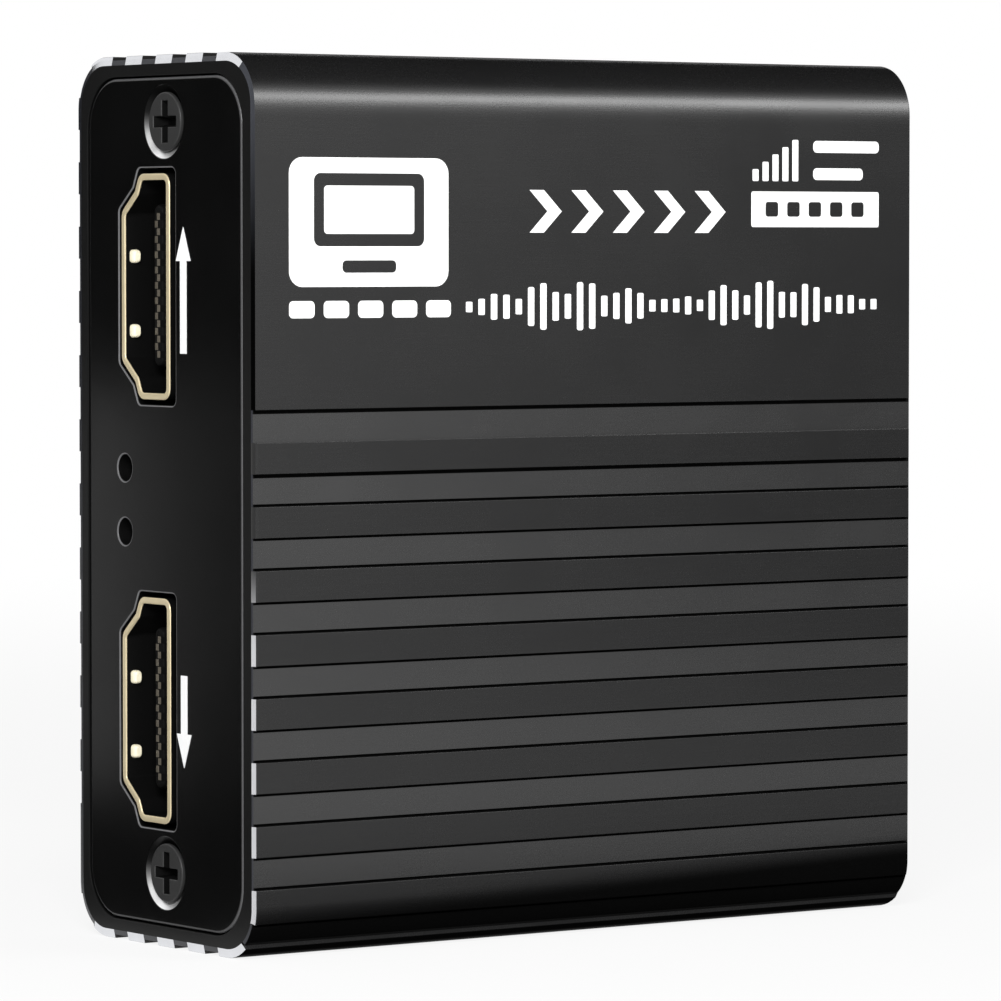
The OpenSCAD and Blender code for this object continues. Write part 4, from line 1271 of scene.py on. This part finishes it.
def makeMarks():
    makeTile()
    dashes, chevrons, meter, slots = marks["dashes"], marks["chevrons"], marks["meter"], marks["boxHoles"]
    printedRow("labelDashes", placed(dashes["start"], dashes["size"], marks["barCorner"]), dashes)
    printedRow("labelChevrons", chevron(chevrons["start"], chevrons["size"], chevrons["stroke"]), chevrons)
    makeWave()
    bars = []
    for n in range(meter["count"]):
        size = (meter["size"][0], meter["size"][1] + n * meter["rise"])
        start = (meter["start"][0] + n * meter["step"], meter["start"][1])
        bars.append([placed(start, size, meter["corner"])])
    printed("labelMeter", *bars)
    x, z = slots["start"]
    starts = [(x + n * slots["step"], z) for n in range(slots["count"])]
    holes = [placed(start, slots["size"], slots["corner"]) for start in starts]
    printed("labelBox", [rounded(*marks["box"], marks["boxCorner"])] + holes)
    printed("labelStripes", *[[rounded(*stripe, marks["barCorner"])] for stripe in marks["stripes"]])


makeMarks()


# Arrows beside the two video sockets
arrows = {
    "y": -2.35,
    "shaft": 0.75,
    "head": 1.75,
    "headLength": 2.2,
    "output": (38.8, 47.0),  # from the tail to the tip
    "input": (17.9, 11.9),
}


def makeArrow(name, tailZ, tipZ):
    way = 1 if tipZ > tailZ else -1
    y, half, wide = arrows["y"], arrows["shaft"] / 2, arrows["head"] / 2
    neck = tipZ - way * arrows["headLength"]
    outline = [(y - half, tailZ), (y + half, tailZ), (y + half, neck), (y + wide, neck),
               (y, tipZ), (y - wide, neck), (y - half, neck)]
    bm = bmesh.new()
    slab(bm, [outline], alongX, plateLow.x - marks["ink"], plateLow.x)
    settle(makePiece(name, bm, printWhite), None)


makeArrow("outputArrow", *arrows["output"])
makeArrow("inputArrow", *arrows["input"])


# CAD nodes that keep their shape
kept = {
    "circuit_board": boardLaminate,
    "data_contacts": goldContact,
    "signal_led": lampResin,
    "power_led": lampResin,
    "capture_chip": chipBody,
    "splitter_chip": chipBody,
    "flash_chip": chipBody,
    "crystal": canMetal,
    "coils": coilBody,
    "regulator": chipBody,
    "bulk_capacitors": bulkBody,
    "ceramic_capacitors": ceramicBody,
    "thermal_pad": padSilicone,
}
for node, finish in kept.items():
    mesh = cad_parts[node].data
    mesh.materials.clear()
    mesh.materials.append(finish)
print("kept nodes finished:", len(kept))


# Studio: white floor and surround, soft lamps, dark cards that only reflections see
studio = {
    "floorSize": 6.0,
    "floorGlow": 0.86,
    "glowNear": 0.1,
    "glowFar": 0.45,
    "ambient": 0.35,
    "middle": (0, 0, 0.03),
    "lamps": {
        "keyLamp": {"place": (-0.22, -0.27, 0.17), "size": (0.12, 0.12), "power": 1.5},
        "edgeStrip": {"place": (0.4, -0.545, 0.27), "size": (0.36, 0.12), "power": 2.1},
        "panelGlow": {"place": (-0.0535, 0.0555, 0.02), "size": (0.01, 0.03), "power": 0.00105},
    },
    "walls": {  # cards on edge: their line along the floor, and their height
        "backCard": {"path": ((-0.4, -0.13), (-0.42, 0.0), (-0.38, 0.17), (-0.26, 0.33), (-0.1, 0.42),
                              (0.1, 0.45), (0.28, 0.4), (0.4, 0.28)), "height": 0.14},
        "frontCard": {"path": ((0.03, -0.15), (0.055, -0.137), (0.122, -0.127), (0.2, -0.08), (0.23, 0.0)),
                      "height": 0.085},
    },
    "sheets": {  # cards lying flat: opposite corners, and their height
        "roofCard": {"low": (-0.25, -0.25), "high": (0.4, 0.1), "height": 0.3},
        "rearRoofCard": {"low": (0.05, 0.1), "high": (0.55, 0.5), "height": 0.3},
        "footCard": {"low": (-0.026, -0.042), "high": (0.12, -0.004), "height": 0.0004},
        "endCard": {"low": (-0.3, 0.0), "high": (-0.03, 0.3), "height": 0.0004},
    },
    "fade": (0.032, 0.115),  # the front card goes from white to dark between these places along X
    "lens": 216.1,
    "camera": (-0.2356, -0.33143, 0.04577),
    "tilt": -2.425,
    "turn": -35.3945,
}


def seenDirectly(graph):  # 1 where the camera, a mirror or glass looks at it
    path = graph.tree.nodes.new("ShaderNodeLightPath")
    rays = ("Is Camera Ray", "Is Glossy Ray", "Is Transmission Ray")
    camera, glossy, through = [Wire(graph, path.outputs[name]) for name in rays]
    return camera + glossy + through


def makeFloor():
    half = studio["floorSize"] / 2
    bm = bmesh.new()
    bmesh.ops.create_grid(bm, x_segments=1, y_segments=1, size=half)
    mesh = bpy.data.meshes.new("studioFloor")
    bm.to_mesh(mesh)
    bm.free()
    floor = newObject("studioFloor", mesh)
    finish = Finish("studioFloor", {"Base Color": grey(0.85), "Roughness": 0.9, "Specular IOR Level": 0.1})
    far = finish.node("VectorMath", {"operation": "LENGTH"}, {0: finish.place}, out="Value")
    least = studio["floorGlow"]
    glow = least + (1 - least) * finish.ease(far, studio["glowNear"], studio["glowFar"])
    white = finish.node("Emission", {}, {"Color": grey(1.0), "Strength": 1.0})
    finish.cover(glow * seenDirectly(finish), white)
    finish.material.cycles.emission_sampling = "NONE"
    mesh.materials.append(finish.material)


def makeWorld():
    world = bpy.data.worlds.new("studioSurround")
    world.use_nodes = True
    world.cycles.sampling_method = "NONE"  # so that the cards hide it
    bpy.context.scene.world = world
    graph = Graph(world.node_tree)
    plain = graph.tree.nodes["Background"]
    plain.inputs["Color"].default_value = grey(1.0)
    plain.inputs["Strength"].default_value = studio["ambient"]
    white = graph.node("Background", {}, {"Color": grey(1.0), "Strength": 1.0})
    shaders = {1: Wire(graph, plain.outputs[0]), 2: white}
    mixed = graph.node("MixShader", {}, {0: seenDirectly(graph), **shaders})
    graph.feed(graph.tree.nodes["World Output"].inputs["Surface"], mixed)


def makeLamp(name, place, size, power):
    light = bpy.data.lights.new(name, "AREA")
    light.shape = "RECTANGLE"
    light.size, light.size_y = size
    light.energy = power
    lamp = newObject(name, light)
    lamp.location = place
    lamp.rotation_euler = (Vector(studio["middle"]) - Vector(place)).to_track_quat("-Z", "Y").to_euler()
    lamp.visible_camera = False


def makeCard(name, points, faces, finish):
    mesh = bpy.data.meshes.new(name)
    mesh.from_pydata(points, [], faces)
    mesh.materials.append(finish)
    card = newObject(name, mesh)
    card.visible_camera = False
    card.visible_diffuse = False
    card.visible_shadow = False
    card.visible_transmission = False


def fadedFinish():  # a card that is lit at one end and dark at the other
    finish = Finish("cardFaded", {"Base Color": grey(0.02), "Emission Strength": 1.0, **shine(0.0)})
    low, high = studio["fade"]
    mask = finish.node("MapRange", {}, {"Value": finish.along("X"), "From Min": low, "From Max": high})
    finish.wear({"Emission Color": finish.blend(mask, grey(1.0), grey(0.12))})
    finish.material.cycles.emission_sampling = "NONE"
    return finish.material


def makeCards():
    dark = satinFinish("cardBlack", grey(0.03), grey(0.02), 0.9, 2.0, 0.01, dull)
    finishes = {"frontCard": fadedFinish()}
    for name, wall in studio["walls"].items():
        count = len(wall["path"])
        points = [(x, y, z) for z in (0, wall["height"]) for x, y in wall["path"]]
        faces = [(i, i + 1, count + i + 1, count + i) for i in range(count - 1)]
        makeCard(name, points, faces, finishes.get(name, dark))
    for name, sheet in studio["sheets"].items():
        points = [(x, y, sheet["height"]) for x, y in boxCore(sheet["low"], sheet["high"])]
        makeCard(name, points, [(0, 1, 2, 3)], dark)


def makeCamera():
    camera = bpy.data.cameras.new("photoView")
    camera.lens = studio["lens"]
    camera.sensor_width = 36
    camera.clip_start = 0.01
    view = newObject("photoView", camera)
    view.location = studio["camera"]
    view.rotation_euler = (math.radians(90 + studio["tilt"]), 0, math.radians(studio["turn"]))
    bpy.context.scene.camera = view


makeFloor()
makeWorld()
makeCamera()
for name, lamp in studio["lamps"].items():
    makeLamp(name, **lamp)
makeCards()
bpy.context.scene.view_settings.view_transform = "Standard"
print("studio ready")
